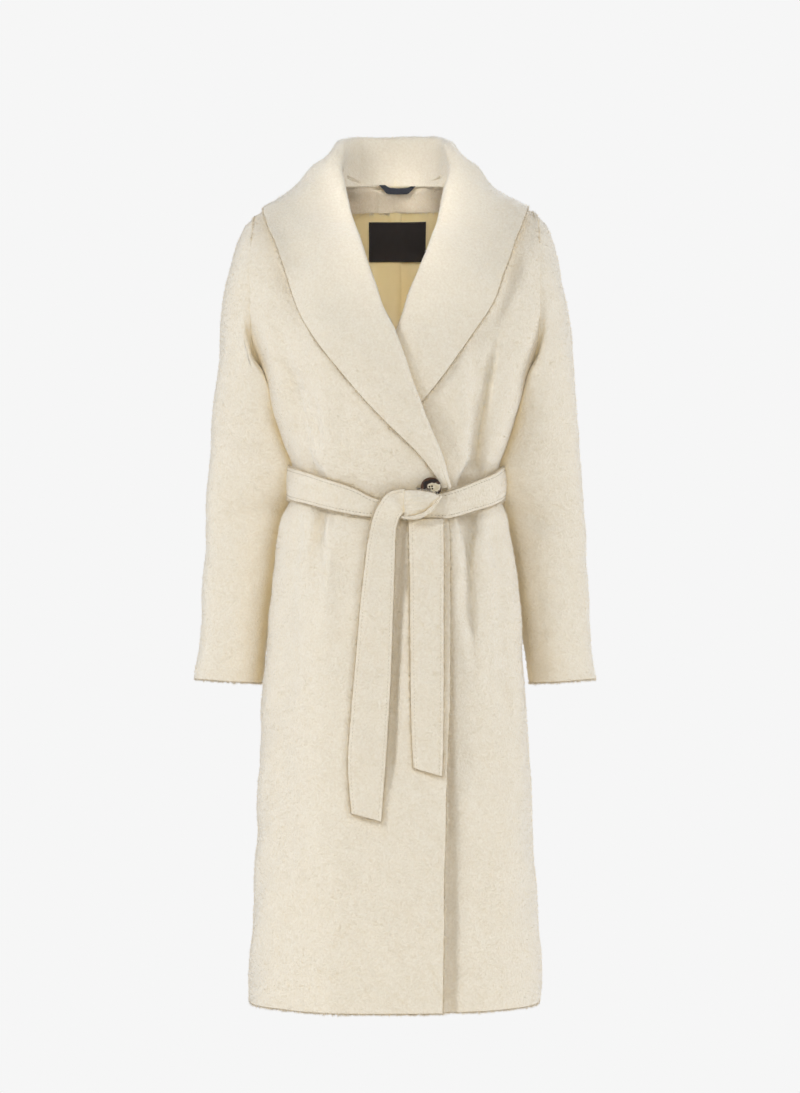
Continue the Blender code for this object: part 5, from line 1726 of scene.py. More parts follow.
@dataclass
class Body(SubAssembly):
    """The two fronts and the back, hung from the shoulders."""

    thickness: float = 4.0 * MM
    hem_turned_in: float = 40.0 * MM
    front_depth: float = -0.15

    def creases(self) -> dict[str, tuple[Crease, ...]]:
        """The creases of each piece, by its node.

        Returns:
            A tuple of creases for each node.
        """
        d = self.front_depth
        front = (
            Crease(seen(d, (262, 230), (290, 300), (305, 380), (320, 462)), 5.0 * MM, 16 * MM),
            Crease(seen(d, (280, 350), (292, 385), (302, 410), (320, 468)), 9.0 * MM, 8 * MM, 1.8),
            Crease(seen(d, (258, 290), (272, 350), (284, 410), (300, 462)), -3.5 * MM, 12 * MM),
            Crease(seen(d, (345, 380), (340, 430), (346, 470)), 3.0 * MM, 12 * MM, 1.0, (0.5, 0.1)),
            Crease(seen(d, (322, 508), (318, 530), (313, 590)), 7.5 * MM, 8 * MM, 1.0, (0.04, 0.7)),
            Crease(seen(d, (330, 512), (328.6, 550), (326, 650)), -4.0 * MM, 8 * MM, 1.0, (0.06, 0.6)),
            Crease(seen(d, (297, 505), (293, 550), (288, 640)), 3.5 * MM, 10 * MM, 1.0, (0.04, 0.7)),
            Crease(seen(d, (505, 318), (494, 370), (486.5, 410), (481.5, 445), (480, 474)), 11.5 * MM,
                   11 * MM, 0.22, (0.4, 0.06)),
            Crease(seen(d, (521, 240), (505, 300), (490, 350)), 6.0 * MM, 13 * MM),
            Crease(seen(d, (466, 330), (463, 400), (467, 465)), -4.0 * MM, 12 * MM),
            Crease(seen(d, (474, 508), (472, 564), (474, 605), (479, 690)), 8.0 * MM, 9 * MM, 0.24,
                   (0.03, 0.6)),
            Crease(seen(d, (459, 512), (456, 580), (458, 660)), -3.0 * MM, 9 * MM, 1.0, (0.06, 0.6)),
            Crease(seen(d, (345, 520), (342, 600), (335, 700)), 2.5 * MM, 18 * MM, 1.0, (0.2, 0.6)),
            Crease(seen(d, (497, 508), (502, 570), (507, 700), (512, 820)), 4.5 * MM, 13 * MM, 1.0,
                   (0.05, 0.5)),
            Crease(seen(d, (285, 560), (280, 700), (276, 860)), 3.0 * MM, 20 * MM),
            Crease(seen(d, (365, 820), (360, 900), (352, 1000)), 2.5 * MM, 24 * MM, 1.0, (0.4, 0.1)),
            Crease(seen(d, (478, 760), (484, 880), (490, 1000)), 3.0 * MM, 22 * MM, 1.0, (0.4, 0.1)),
        )
        between_tails = (
            Crease(seen(d, (402, 522), (398, 600), (394, 700), (389, 800)), 9.5 * MM, 14 * MM, 0.4,
                   (0.05, 0.2)),
        )
        behind_edge = (
            Crease(seen(d, (449, 560), (449, 700), (451, 850), (452, 1012)), 9.0 * MM, 13 * MM, 0.4,
                   (0.3, 0.0)),
        )
        back = (
            back_crease(4.5, 14, 1.0, (0.3, 0.15), -150, -60, -120, -200, -100, -330, -95, -415),
            back_crease(4.5, 13, 0.7, (0.3, 0.15), 158, -70, 125, -190, 108, -310, 100, -418),
            back_crease(3.0, 12, 1.0, (0.5, 0.15), -40, -230, -44, -330, -38, -415),
            back_crease(3.4, 11, 1.4, (0.5, 0.15), 52, -260, 48, -350, 55, -418),
            back_crease(5.0, 12, 0.7, (0.06, 0.6), -96, -470, -104, -560, -112, -700),
            back_crease(5.0, 13, 1.3, (0.06, 0.6), 98, -470, 110, -580, 120, -760),
            back_crease(3.2, 15, 1.0, (0.08, 0.6), -30, -470, -26, -580, -32, -800),
            back_crease(3.0, 12, 1.0, (0.08, 0.6), 38, -472, 30, -560, 36, -690),
            back_crease(2.0, 20, 1.0, (0.35, 0.35), -110, -95, 0, -125, 112, -98),
            back_crease(3.0, 22, 1.0, (0.4, 0.05), 70, -800, 76, -950, 80, -1140),
            back_crease(3.0, 22, 1.0, (0.4, 0.05), -85, -760, -90, -930, -96, -1140),
        )
        return {"right_front": (*front, *between_tails), "left_front": (*front, *behind_edge), "back": back}

    def make(self) -> None:
        """Makes the three pieces."""
        for node, creases in self.creases().items():
            cloth = Cloth(node, self.thickness, PANEL_SPACING, self.finishes.wool, self.finishes.satin,
                          creases=creases, pile=Pile(), pile_look=self.finishes.nap,
                          turned_in=self.hem_turned_in,
                          across_spacing=0.0 if node == "back" else FOLD_SPACING)
            Fullness().give(cloth.wall)
            cloth.make(self.neighbours)


@dataclass
class Sleeves(SubAssembly):
    """The two sleeves, hung from the armholes."""

    thickness: float = 4.0 * MM
    cuff_turned_in: float = 45.0 * MM
    depth: float = -0.03
    filling: Path = ((-0.46, 0.0), (-0.435, 0.55), (-0.40, 1.0), (-0.37, 0.78),
                                                (-0.34, 0.68), (-0.31, 0.74), (-0.285, 0.80), (-0.262, 0.74),
                                                (-0.24, 0.58), (-0.215, 0.36), (-0.19, 0.15),
                                                (-0.165, 0.0))
    head_tuck: float = 4.5 * MM
    head_sink: float = 1.7 * MM
    right_filling: float = 21.0 * MM
    left_filling: float = 13.5 * MM
    forward: float = 27.0 * MM
    left_forward_share: float = 0.65
    side_fullness: Fullness = Fullness((0.27, -0.424), 55.0 * MM, 0.0, 4.5 * MM)

    def creases(self) -> dict[str, tuple[Crease, ...]]:
        """The creases of each sleeve, by its node.

        Returns:
            A tuple of creases for each node.
        """
        d = self.depth
        right = (
            Crease(seen(d, (228, 285), (240, 345), (258, 400), (283, 462)), 4.0 * MM, 13 * MM),
            Crease(seen(d, (214, 330), (216, 400), (232, 480)), 2.4 * MM, 14 * MM),
            Crease(seen(d, (268, 500), (240, 520), (206, 525)), 3.0 * MM, 10 * MM, 1.4),
            Crease(seen(d, (262, 560), (240, 585), (216, 590)), 2.2 * MM, 12 * MM),
            Crease(seen(d, (225, 540), (222, 600), (218, 670)), 2.0 * MM, 14 * MM),
            back_crease(4.0, 14, 1.0, (0.3, 0.4), -190, -200, -205, -320, -225, -430),
            back_crease(3.2, 11, 1.0, (0.3, 0.4), -175, -400, -215, -445, -255, -450),
            back_crease(2.6, 12, 1.0, (0.3, 0.4), -190, -500, -225, -540, -262, -545),
        )
        left = (
            Crease(seen(d, (562, 285), (550, 345), (535, 400), (510, 462)), 3.6 * MM, 13 * MM),
            Crease(seen(d, (574, 340), (570, 410), (556, 480)), 2.4 * MM, 15 * MM),
            Crease(seen(d, (522, 508), (548, 522), (580, 528)), 2.6 * MM, 11 * MM, 0.7),
            Crease(seen(d, (535, 580), (552, 600), (575, 612)), 2.2 * MM, 12 * MM),
            Crease(seen(d, (566, 530), (570, 600), (572, 670)), 2.0 * MM, 14 * MM),
            back_crease(4.0, 13, 1.0, (0.3, 0.4), 186, -190, 200, -310, 218, -425),
            back_crease(3.0, 11, 1.0, (0.3, 0.4), 178, -410, 214, -450, 252, -458),
            back_crease(2.4, 12, 1.0, (0.3, 0.4), 195, -520, 232, -552, 264, -556),
        )
        return {"right_sleeve": right, "left_sleeve": left}

    def make(self) -> None:
        """Makes both sleeves."""
        for node, creases in self.creases().items():
            cloth = Cloth(node, self.thickness, PANEL_SPACING, self.finishes.wool, self.finishes.satin,
                          creases=creases, pile=Pile(seed=6), pile_look=self.finishes.nap,
                          turned_in=self.cuff_turned_in)
            self.fill_out(cloth.wall, self.right_filling if node == "right_sleeve" else self.left_filling)
            cloth.wall.press(self.head_sink * smoothstep(1.0 - cloth.wall.down / (9.0 * MM))[:, None])
            cloth.wall.stretch(0, self.head_tuck)
            Fullness().give(cloth.wall)
            self.side_fullness.give(cloth.wall)
            cloth.make(self.neighbours)

    def fill_out(self, wall: Wall, most: float) -> None:
        """Widens the sleeve towards the body below the armpit, where the cloth lies against the side.

        Args:
            wall: the sleeve's wall.
            most: how far it is widened at most.
        """
        heights, shares = (np.array(column) for column in zip(*self.filling))
        sign = float(np.sign(wall.outer[..., 0].mean()))
        ring = wall.outer[:, :-1]
        middle = ring.mean(axis=1)
        reach = np.abs(ring[..., 0] - middle[:, None, 0]).max(axis=1)
        aside = (middle[:, None, 0] - wall.outer[..., 0]) * sign / reach[:, None]
        ahead = (middle[:, None, 1] - wall.outer[..., 1]) / (40.0 * MM)
        tall = np.interp(wall.outer[..., 2], heights, shares)
        toward = smoothstep((aside + 0.15) / 0.8) * tall
        shift = np.zeros_like(wall.outer)
        shift[..., 0] = -sign * most * toward
        forward = self.forward * (1.0 if sign < 0.0 else self.left_forward_share)
        shift[..., 1] = -forward * smoothstep(aside + 0.5) * tall * smoothstep(ahead + 0.9)
        wall.move(shift)


@dataclass
class Collar(SubAssembly):
    """The shawl collar: two pieces that meet at the back and cross over the chest."""

    thickness: float = 4.4 * MM
    neck_seam: float = 186.6
    neck_back: float = 9.0 * MM
    neck_ahead: float = 4.0 * MM
    most_drop: float = 30.0 * MM
    beside_height: float = -60.0 * MM
    end_tuck: float = 13.0 * MM
    fullness: Fullness = Fullness((0.109, 0.0215), 27.0 * MM, 9.4 * MM, 7.5 * MM)

    def creases(self) -> dict[str, tuple[Crease, ...]]:
        """The creases of each side, by its node.

        Returns:
            A tuple of creases for each node.
        """
        right = (
            Crease(seen(-0.05, (360, 138), (361, 150), (357, 166)), 1.8 * MM, 4 * MM),
            Crease(seen(-0.15, (296, 225), (322, 290), (372, 366)), 1.5 * MM, 16 * MM),
            Crease(seen(-0.15, (330, 200), (350, 270), (384, 340)), -1.5 * MM, 12 * MM),
        )
        left = (
            Crease(seen(-0.15, (494, 225), (470, 290), (430, 360)), 1.5 * MM, 16 * MM),
            Crease(seen(-0.15, (462, 200), (440, 270), (415, 320)), -1.5 * MM, 12 * MM),
        )
        return {"right_collar": right, "left_collar": left}

    def make(self) -> None:
        """Makes both sides of the collar."""
        for node, creases in self.creases().items():
            cloth = Cloth(node, self.thickness, COLLAR_SPACING, self.finishes.wool, self.finishes.wool,
                          held="folded", creases=creases, pile=Pile(seed=7), pile_look=self.finishes.nap)
            self.fullness.give(cloth.wall)
            self.lower_neck_edge(cloth.wall)
            if node == "right_collar":
                cloth.wall.stretch(1, self.end_tuck, 40.0 * MM)
            cloth.make(self.neighbours)

    def lower_neck_edge(self, wall: Wall) -> None:
        """Brings the neck seam down until it runs level from the front, and draws it back at the sides.

        Args:
            wall: the collar's wall.
        """
        side = min((2, 3), key=lambda number: float(wall.side_points(number)[0, 1]))
        edge = wall.side_points(side)
        drop = edge[:, 2] - seen_height(edge[:, 1], self.neck_seam)
        drop = np.clip(drop, 0.0, self.most_drop) * smoothstep((edge[:, 1] + 14.0 * MM) / (10.0 * MM))
        beside = np.exp(-(((edge[:, 1] + 12.0 * MM) / (15.0 * MM)) ** 2))
        beside = self.neck_back * beside * (edge[:, 2] > self.beside_height)
        ahead = self.neck_ahead * smoothstep((edge[:, 1] + 10.0 * MM) / (14.0 * MM))
        far = wall.across if side == 2 else wall.across[-1] - wall.across
        shift = np.zeros_like(wall.outer)
        shift[..., 2] = -drop[:, None] * smoothstep(1.0 - far / (34.0 * MM))
        shift[..., 1] = -ahead[:, None] * smoothstep(1.0 - far / (22.0 * MM))
        outward = np.sign(wall.outer[..., 0].mean())
        shift[..., 0] = outward * beside[:, None] * smoothstep(1.0 - far / (24.0 * MM))
        wall.move(shift)


@dataclass
class Neck(SubAssembly):
    """What shows inside the neck: the facing, the lining, the bare label and the hanger loop."""

    lining_thickness: float = 1.2 * MM
    facing_thickness: float = 3.0 * MM
    label_thickness: float = 0.8 * MM
    tuck_up: float = 3.5 * MM
    tuck_behind: float = 7.0 * MM
    tuck_aside: float = 20.0 * MM
    fold_edge: float = 401.0
    fold_step: float = 5.0 * MM
    fold_width: float = 16.0 * MM
    fold_top: float = 213.0
    lining_depth: float = 0.075
    gathers: tuple[tuple[float, ...], ...] = (
        (384, 0.5, 14, 1.0), (389, -0.4, 20, 1.2), (394, 0.2, 12, 0.9), (418, 0.3, 16, 1.1),
        (424, 0.8, 22, 1.3), (431, 0.6, 15, 0.9), (438, 1.0, 20, 1.1), (372, -0.6, 12, 0.8))
    facing_spacing: float = 2.5 * MM
    facing_pile_depth: float = 0.8 * MM
    facing_pile: Pile = Pile(60.0, 40.0, length=(1.8 * MM, 3.6 * MM), blade=0.8 * MM, seed=9)
    label_seam: float = 1.6 * MM
    loop_set_back: float = 1.4 * MM
    loop_bow: float = 1.0 * MM
    loop_half: float = 0.55 * MM
    loop_least: float = 10.0 * MM
    loop_outside: Path = ((379.0, 184.6), (382.9, 189.2), (386.2, 192.8),
                                                     (388.0, 193.7), (397.0, 194.2), (406.6, 193.9),
                                                     (408.6, 193.1), (412.0, 190.0), (415.6, 186.0))
    loop_inside: Path = ((385.4, 184.6), (387.4, 186.0), (389.4, 187.1),
                                                    (390.8, 187.5), (397.0, 188.0), (405.6, 187.7),
                                                    (407.0, 187.4), (409.0, 186.8), (410.6, 186.0))

    def make(self) -> None:
        """Makes the four pieces."""
        behind = Body(self.finishes, self.neighbours).creases()["back"]
        self.make_lining(behind)
        self.make_facing(behind)
        self.make_label(behind)
        self.make_loop()

    def make_lining(self, behind: tuple[Crease, ...]) -> None:
        """Makes the satin lining, gathered below the facing, with its pleat in the middle.

        Args:
            behind: the creases of the back, which the lining follows.
        """
        d = self.lining_depth
        gathers = tuple(
            Crease(seen(d, (x, 212), (x + lean, 222), (x + 2.2 * lean, 222 + long)), deep * MM,
                   2.3 * MM, 1.0, (0.05, 0.7))
            for x, lean, long, deep in self.gathers
        )
        pleat = Crease(seen(d, (396, 214), (396.4, 255), (396, 300), (394, 420)), -0.8 * MM, 4.0 * MM, 1.0,
                       (0.05, 0.3))
        lining = Cloth("back_lining", self.lining_thickness, LINING_SPACING, self.finishes.satin,
                       self.finishes.satin, held="hung", rests_on=("back",), slot="cream_satin",
                       shown=Shown.FORWARD, creases=(*gathers, pleat), inside_back=True,
                       carrier_creases=behind)
        (edge, _), (_, top) = seen(d, (self.fold_edge, 0.0), (0.0, self.fold_top))
        aside = lining.wall.outer[..., 0] - edge
        fold = smoothstep(aside / (0.8 * MM)) * np.exp(-np.clip(aside, 0.0, 1.0) / self.fold_width)
        below = smoothstep((top - lining.wall.outer[..., 2]) / (3.0 * MM))
        lining.wall.press(self.fold_step * fold * below)
        lining.make(self.neighbours)

    def make_facing(self, behind: tuple[Crease, ...]) -> None:
        """Makes the facing of coat cloth, whose ends and top run behind the collar.

        Args:
            behind: the creases of the back, which the facing follows.
        """
        # The facing wears the painted-shade copy of the wool, for the shade inside the neck.
        facing = Cloth("back_neck_facing", self.facing_thickness, self.facing_spacing,
                       self.finishes.painted_shade_wool, self.finishes.painted_shade_wool, held="laid", rests_on=("back",),
                       shown=Shown.FORWARD, pile=self.facing_pile, pile_depth=self.facing_pile_depth,
                       pile_look=self.finishes.painted_shade_nap, inside_back=True, carrier_creases=behind)
        for side in (2, 3):
            facing.wall.stretch(side, self.tuck_aside, self.tuck_aside)
        self.level_top(facing.wall)
        facing.wall.measure_cut(facing.wall.outer)
        facing.make(self.neighbours)

    def level_top(self, wall: Wall) -> None:
        """Brings the facing's top edge level, a little above the neck seam, and behind the collar.

        Args:
            wall: the facing's wall.
        """
        top = wall.outer[0]
        level = seen_height(top[:, 1], Collar.neck_seam) + self.tuck_up
        share = 1.0 - wall.down / wall.down[-1]
        rise = (level - top[:, 2])[None, :] * share[:, None]
        behind = self.tuck_behind * smoothstep(1.0 - wall.down / (12.0 * MM))[:, None]
        for grid in (wall.outer, wall.inner):
            grid[..., 2] += rise
            grid[..., 1] += behind

    def make_label(self, behind: tuple[Crease, ...]) -> None:
        """Makes the bare label, sewn along its four sides.

        Args:
            behind: the creases of the back, which the label follows.
        """
        label = Cloth("neck_label", self.label_thickness, self.label_seam, self.finishes.label,
                      self.finishes.label, held="laid", rests_on=("back_lining",), slot="label_black",
                      shown=Shown.FORWARD, inside_back=True, carrier_creases=behind)
        wall = label.wall
        first = int(np.searchsorted(wall.down, self.label_seam))
        second = int(np.searchsorted(wall.across, self.label_seam))
        normals = wall.normals()
        lines, ways = [], []
        for pick in (np.s_[first, second:-second], np.s_[-1 - first, second:-second],
                     np.s_[first:-first, second], np.s_[first:-first, -1 - second]):
            lines.append(wall.outer[pick])
            ways.append(normals[pick])
        sewing = Stitching(1.6 * MM, 2.5 * MM, 0.2 * MM).along(lines, ways)
        label.add(mesh_object("neck_label_sewing", *sewing, self.finishes.dark_thread), "label_black")
        label.make(self.neighbours)

    def make_loop(self) -> None:
        """Makes the hanger loop, a flat ribbon bent into a shallow bow below the neck seam."""
        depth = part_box("hanger_loop")[0][1] + self.loop_set_back
        place = np.linspace(0.0, 1.0, 61)
        keys = np.linspace(0.0, 1.0, len(self.loop_outside))
        paths = (np.array(seen(depth, *path)) for path in (self.loop_outside, self.loop_inside))
        outside, inside = (
            np.stack([np.interp(place, keys, path[:, i]) for i in range(2)], axis=1) for path in paths
        )
        across = np.linspace(0.0, 1.0, 13)
        flat = outside[:, None] * (1.0 - across[:, None]) + inside[:, None] * across[:, None]
        rise = np.sin(place * math.pi)[:, None] * self.loop_bow + np.zeros(len(across))
        front = np.stack([flat[..., 0], depth - rise, flat[..., 1]], axis=-1)
        edge = np.minimum(across, 1.0 - across)
        half = self.loop_half * np.sqrt(np.clip(1.0 - (1.0 - edge / 0.1).clip(0.0, 1.0) ** 2, 0.0, 1.0))
        shown, hidden = front.copy(), front.copy()
        shown[..., 1] -= half
        hidden[..., 1] += half
        rows, columns = front.shape[:2]
        number = np.arange(rows * columns).reshape(rows, columns)
        behind = number + rows * columns
        behind[:, [0, -1]] = number[:, [0, -1]]
        ends = [np.stack([number[i, :-1], behind[i, :-1], behind[i, 1:], number[i, 1:]], axis=1)
                for i in (0, -1)]
        faces = np.concatenate([quads(number), quads(behind)[:, ::-1], ends[0], ends[1][:, ::-1]])
        points = np.concatenate([shown.reshape(-1, 3), hidden.reshape(-1, 3)])
        loop = mesh_object("hanger_loop_ribbon", points, faces, self.finishes.ribbon)
        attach(loop, BODY)
        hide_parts("hanger_loop")
        log.info("%s: %d faces", loop.name, len(loop.data.polygons))


@dataclass
class Belt(SubAssembly):
    """The tied belt: the band round the waist, the knot and its two tails, topstitched near its edges."""

    thickness: float = 5.0 * MM
    band_thickness: float = 4.0 * MM
    inset: float = 4.5 * MM
    trough: float = 0.6 * MM
    trough_width: float = 1.4 * MM
    pile: Pile = Pile(30.0, 120.0, 1.9, (1.2 * MM, 2.4 * MM), 0.7 * MM, 0.9, 0.3 * MM, 8)
    roll_path: Path = ((401.5, 516.5), (409.0, 517.3), (417.0, 516.5),
                                                  (424.0, 513.8), (430.0, 509.6), (435.5, 504.0),
                                                  (439.5, 498.6), (442.0, 495.0))
    roll_radius: float = 3.1 * MM
    knot_lift: float = 5.5 * MM
    knot_side: float = 64.0 * MM
    settled: float = 2.6 * MM
    band_rise: float = 9.5 * MM
    pile_depth: float = 0.9 * MM
    knot_thickness: float = 16.0 * MM
    knot_spacing: float = 1.1 * MM
    knot_depth: float = -0.155
    knot_fan: tuple[tuple[float, ...], ...] = ((496, 492.5, 1.3), (501, 497, 1.8), (505.5, 502, 1.4),
                                               (509.5, 505, 1.8), (513, 508, 1.2))
    knot_rise_start: float = 18.0 * MM
    knot_rise_width: float = 42.0 * MM
    knot_turn: float = 7.0 * MM
    knot_turn_back: float = 3.2 * MM
    knot_turn_aside: float = 2.0 * MM
    roll_set_back: float = 3.0 * MM
    roll_slant: float = 2.0 * MM
    roll_fuzz: float = 0.4 * MM
    roll_sides: int = 20
    roll_tufts: int = 900

    def strip(self, node: str, thickness: float, shown: Shown, creases: tuple[Crease, ...] = (),
              spacing: float = BELT_SPACING) -> Cloth:
        """One length of the belt, not made yet.

        Args:
            node: its node.
            thickness: how thick it is drawn.
            shown: the sheet that shows.
            creases: its creases.
            spacing: how finely it is drawn.

        Returns:
            The cloth.
        """
        return Cloth(node, thickness, spacing, self.finishes.wool, self.finishes.wool, held="folded",
                     shown=shown, creases=creases, pile=self.pile, pile_look=self.finishes.nap,
                     pile_depth=self.pile_depth, rests_on=("right_front",))

    def sew(self, cloth: Cloth, rows: bool) -> None:
        """Sews along the two long edges of a length of belt.

        Args:
            cloth: the length of belt.
            rows: whether its long edges are its first and last rows.
        """
        wall = cloth.wall
        wall.topstitch(self.inset, self.trough, self.trough_width, rows, not rows)
        grid = wall.outer if rows else np.swapaxes(wall.outer, 0, 1)
        normals = wall.normals() if rows else np.swapaxes(wall.normals(), 0, 1)
        lines, ways = [], []
        for turned in (grid, grid[::-1]):
            steps = np.linalg.norm(np.diff(turned, axis=0), axis=-1)
            run = np.concatenate([np.zeros((1, steps.shape[1])), np.cumsum(steps, axis=0)])
            first = np.argmax(run > self.inset, axis=0)
            column = np.arange(run.shape[1])
            before = run[first - 1, column]
            part = ((self.inset - before) / (run[first, column] - before))[:, None]
            lines.append(turned[first - 1, column] * (1 - part) + turned[first, column] * part)
            way = normals if turned is grid else normals[::-1]
            ways.append(way[first, column])
        sewing = Stitching().along(lines, ways)
        look = self.finishes.tan_thread if rows else self.finishes.thread
        piece = mesh_object(f"{cloth.node}_stitches", *sewing, look)
        cloth.add(piece, "cream_wool")

    def make(self) -> None:
        """Makes the belt."""
        band = self.strip("belt_band", self.band_thickness, Shown.OUTSIDE)
        top = band.wall.outer[0]
        near_knot = np.exp(-(((top[:, 0] - self.knot_side) / (21.0 * MM)) ** 2)) * (top[:, 1] < 0.0)
        band.wall.stretch(0, self.band_rise * near_knot, 16.0 * MM)
        self.sew(band, True)
        band.make(self.neighbours)
        for node in ("belt_tail_long", "belt_tail_short"):
            tail = self.strip(node, self.thickness, Shown.FORWARD)
            self.settle(tail.wall)
            self.sew(tail, False)
            tail.make(self.neighbours)
        self.make_knot()

    def settle(self, wall: Wall) -> None:
        """Lays the side of a tail that looks to the light down on the skirt.

        Args:
            wall: the tail's wall.
        """
        for grid in (wall.outer, wall.inner):
            aside = grid[..., 0] - wall.outer[..., 0].min(axis=1, keepdims=True)
            grid[..., 1] += self.settled * smoothstep(1.0 - aside / (9.0 * MM))

    def make_knot(self) -> None:
        """Makes the knot's smooth wrap, with fine creases fanning from its left, and its rolled rim."""
        fan = tuple(
            Crease(seen(self.knot_depth, (403.5, left), (416, left + 0.35 * (right - left)), (437, right)),
                   deep * MM, 1.9 * MM, 1.0, (0.12, 0.5))
            for left, right, deep in self.knot_fan
        )
        knot = self.strip("belt_knot", self.knot_thickness, Shown.FORWARD, fan, self.knot_spacing)
        self.add_roll(knot)
        wall = knot.wall
        hidden_side = smoothstep(1.0 - wall.across / self.knot_turn)[None, :]
        for grid in (wall.outer, wall.inner):
            grid[..., 1] += self.knot_turn_back * hidden_side
            grid[..., 0] -= self.knot_turn_aside * hidden_side
        rise = smoothstep((wall.outer[..., 0] - self.knot_rise_start) / self.knot_rise_width)
        rise = rise * (1.0 - wall.down / wall.down[-1])[:, None] * self.knot_lift
        for grid in (wall.outer, wall.inner):
            grid[..., 2] += rise
        knot.make(self.neighbours)

    def add_roll(self, knot: Cloth) -> None:
        """Adds the rolled rim of cloth below the knot, with its own pile.

        Args:
            knot: the knot's cloth.
        """
        path = np.array(seen(self.knot_depth, *self.roll_path))
        length = line_length(path)
        place, share = rounded_ends(float(length[-1]), self.roll_radius, 1.0 * MM)
        flat = spline(length, path, place)
        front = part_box("belt_knot")[0][1]
        depth = front + self.roll_set_back + self.roll_slant * np.linspace(0.0, 1.0, len(place))
        middle = np.stack([flat[:, 0], depth, flat[:, 1]], axis=1)
        side = unit(np.cross(np.gradient(middle, axis=0), np.array([0.0, -1.0, 0.0])))
        wobble = 1.0 + 0.08 * np.sin(place / (3.1 * MM)) + 0.05 * np.sin(place / (1.3 * MM) + 1.0)
        run = place / place[-1]
        taper = 0.45 + 0.55 * np.minimum(smoothstep(run / 0.3), smoothstep((1.0 - run) / 0.45))
        radius = self.roll_radius * share * wobble * taper
        points, faces = ring_sweep(middle, side, radius, radius, self.roll_sides)
        middles = np.repeat(middle, self.roll_sides, axis=0)
        knot.add(mesh_object("belt_knot_roll", points, faces, self.finishes.wool), "cream_wool")
        knot.add(self.fuzz("belt_knot_roll_nap", points, middles), "cream_wool")

    def fuzz(self, name: str, points: Array, middle: Array) -> Object:
        """Grows the pile round a rolled piece, from its points and the middle line behind each.

        Args:
            name: the pile's name.
            points: the points, in rings.
            middle: the middle line behind each.

        Returns:
            The pile's object.
        """
        rng = np.random.default_rng(self.pile.seed)
        pick = rng.integers(0, len(points), self.roll_tufts)
        roots = points[pick] + rng.normal(scale=self.roll_fuzz, size=(len(pick), 3))
        facing = unit(points[pick] - middle[pick])
        lean = self.pile.heading(roots, facing, rng)
        return self.pile.blades(name, roots, facing, lean, np.ones((len(pick), 1)), self.finishes.nap, rng)


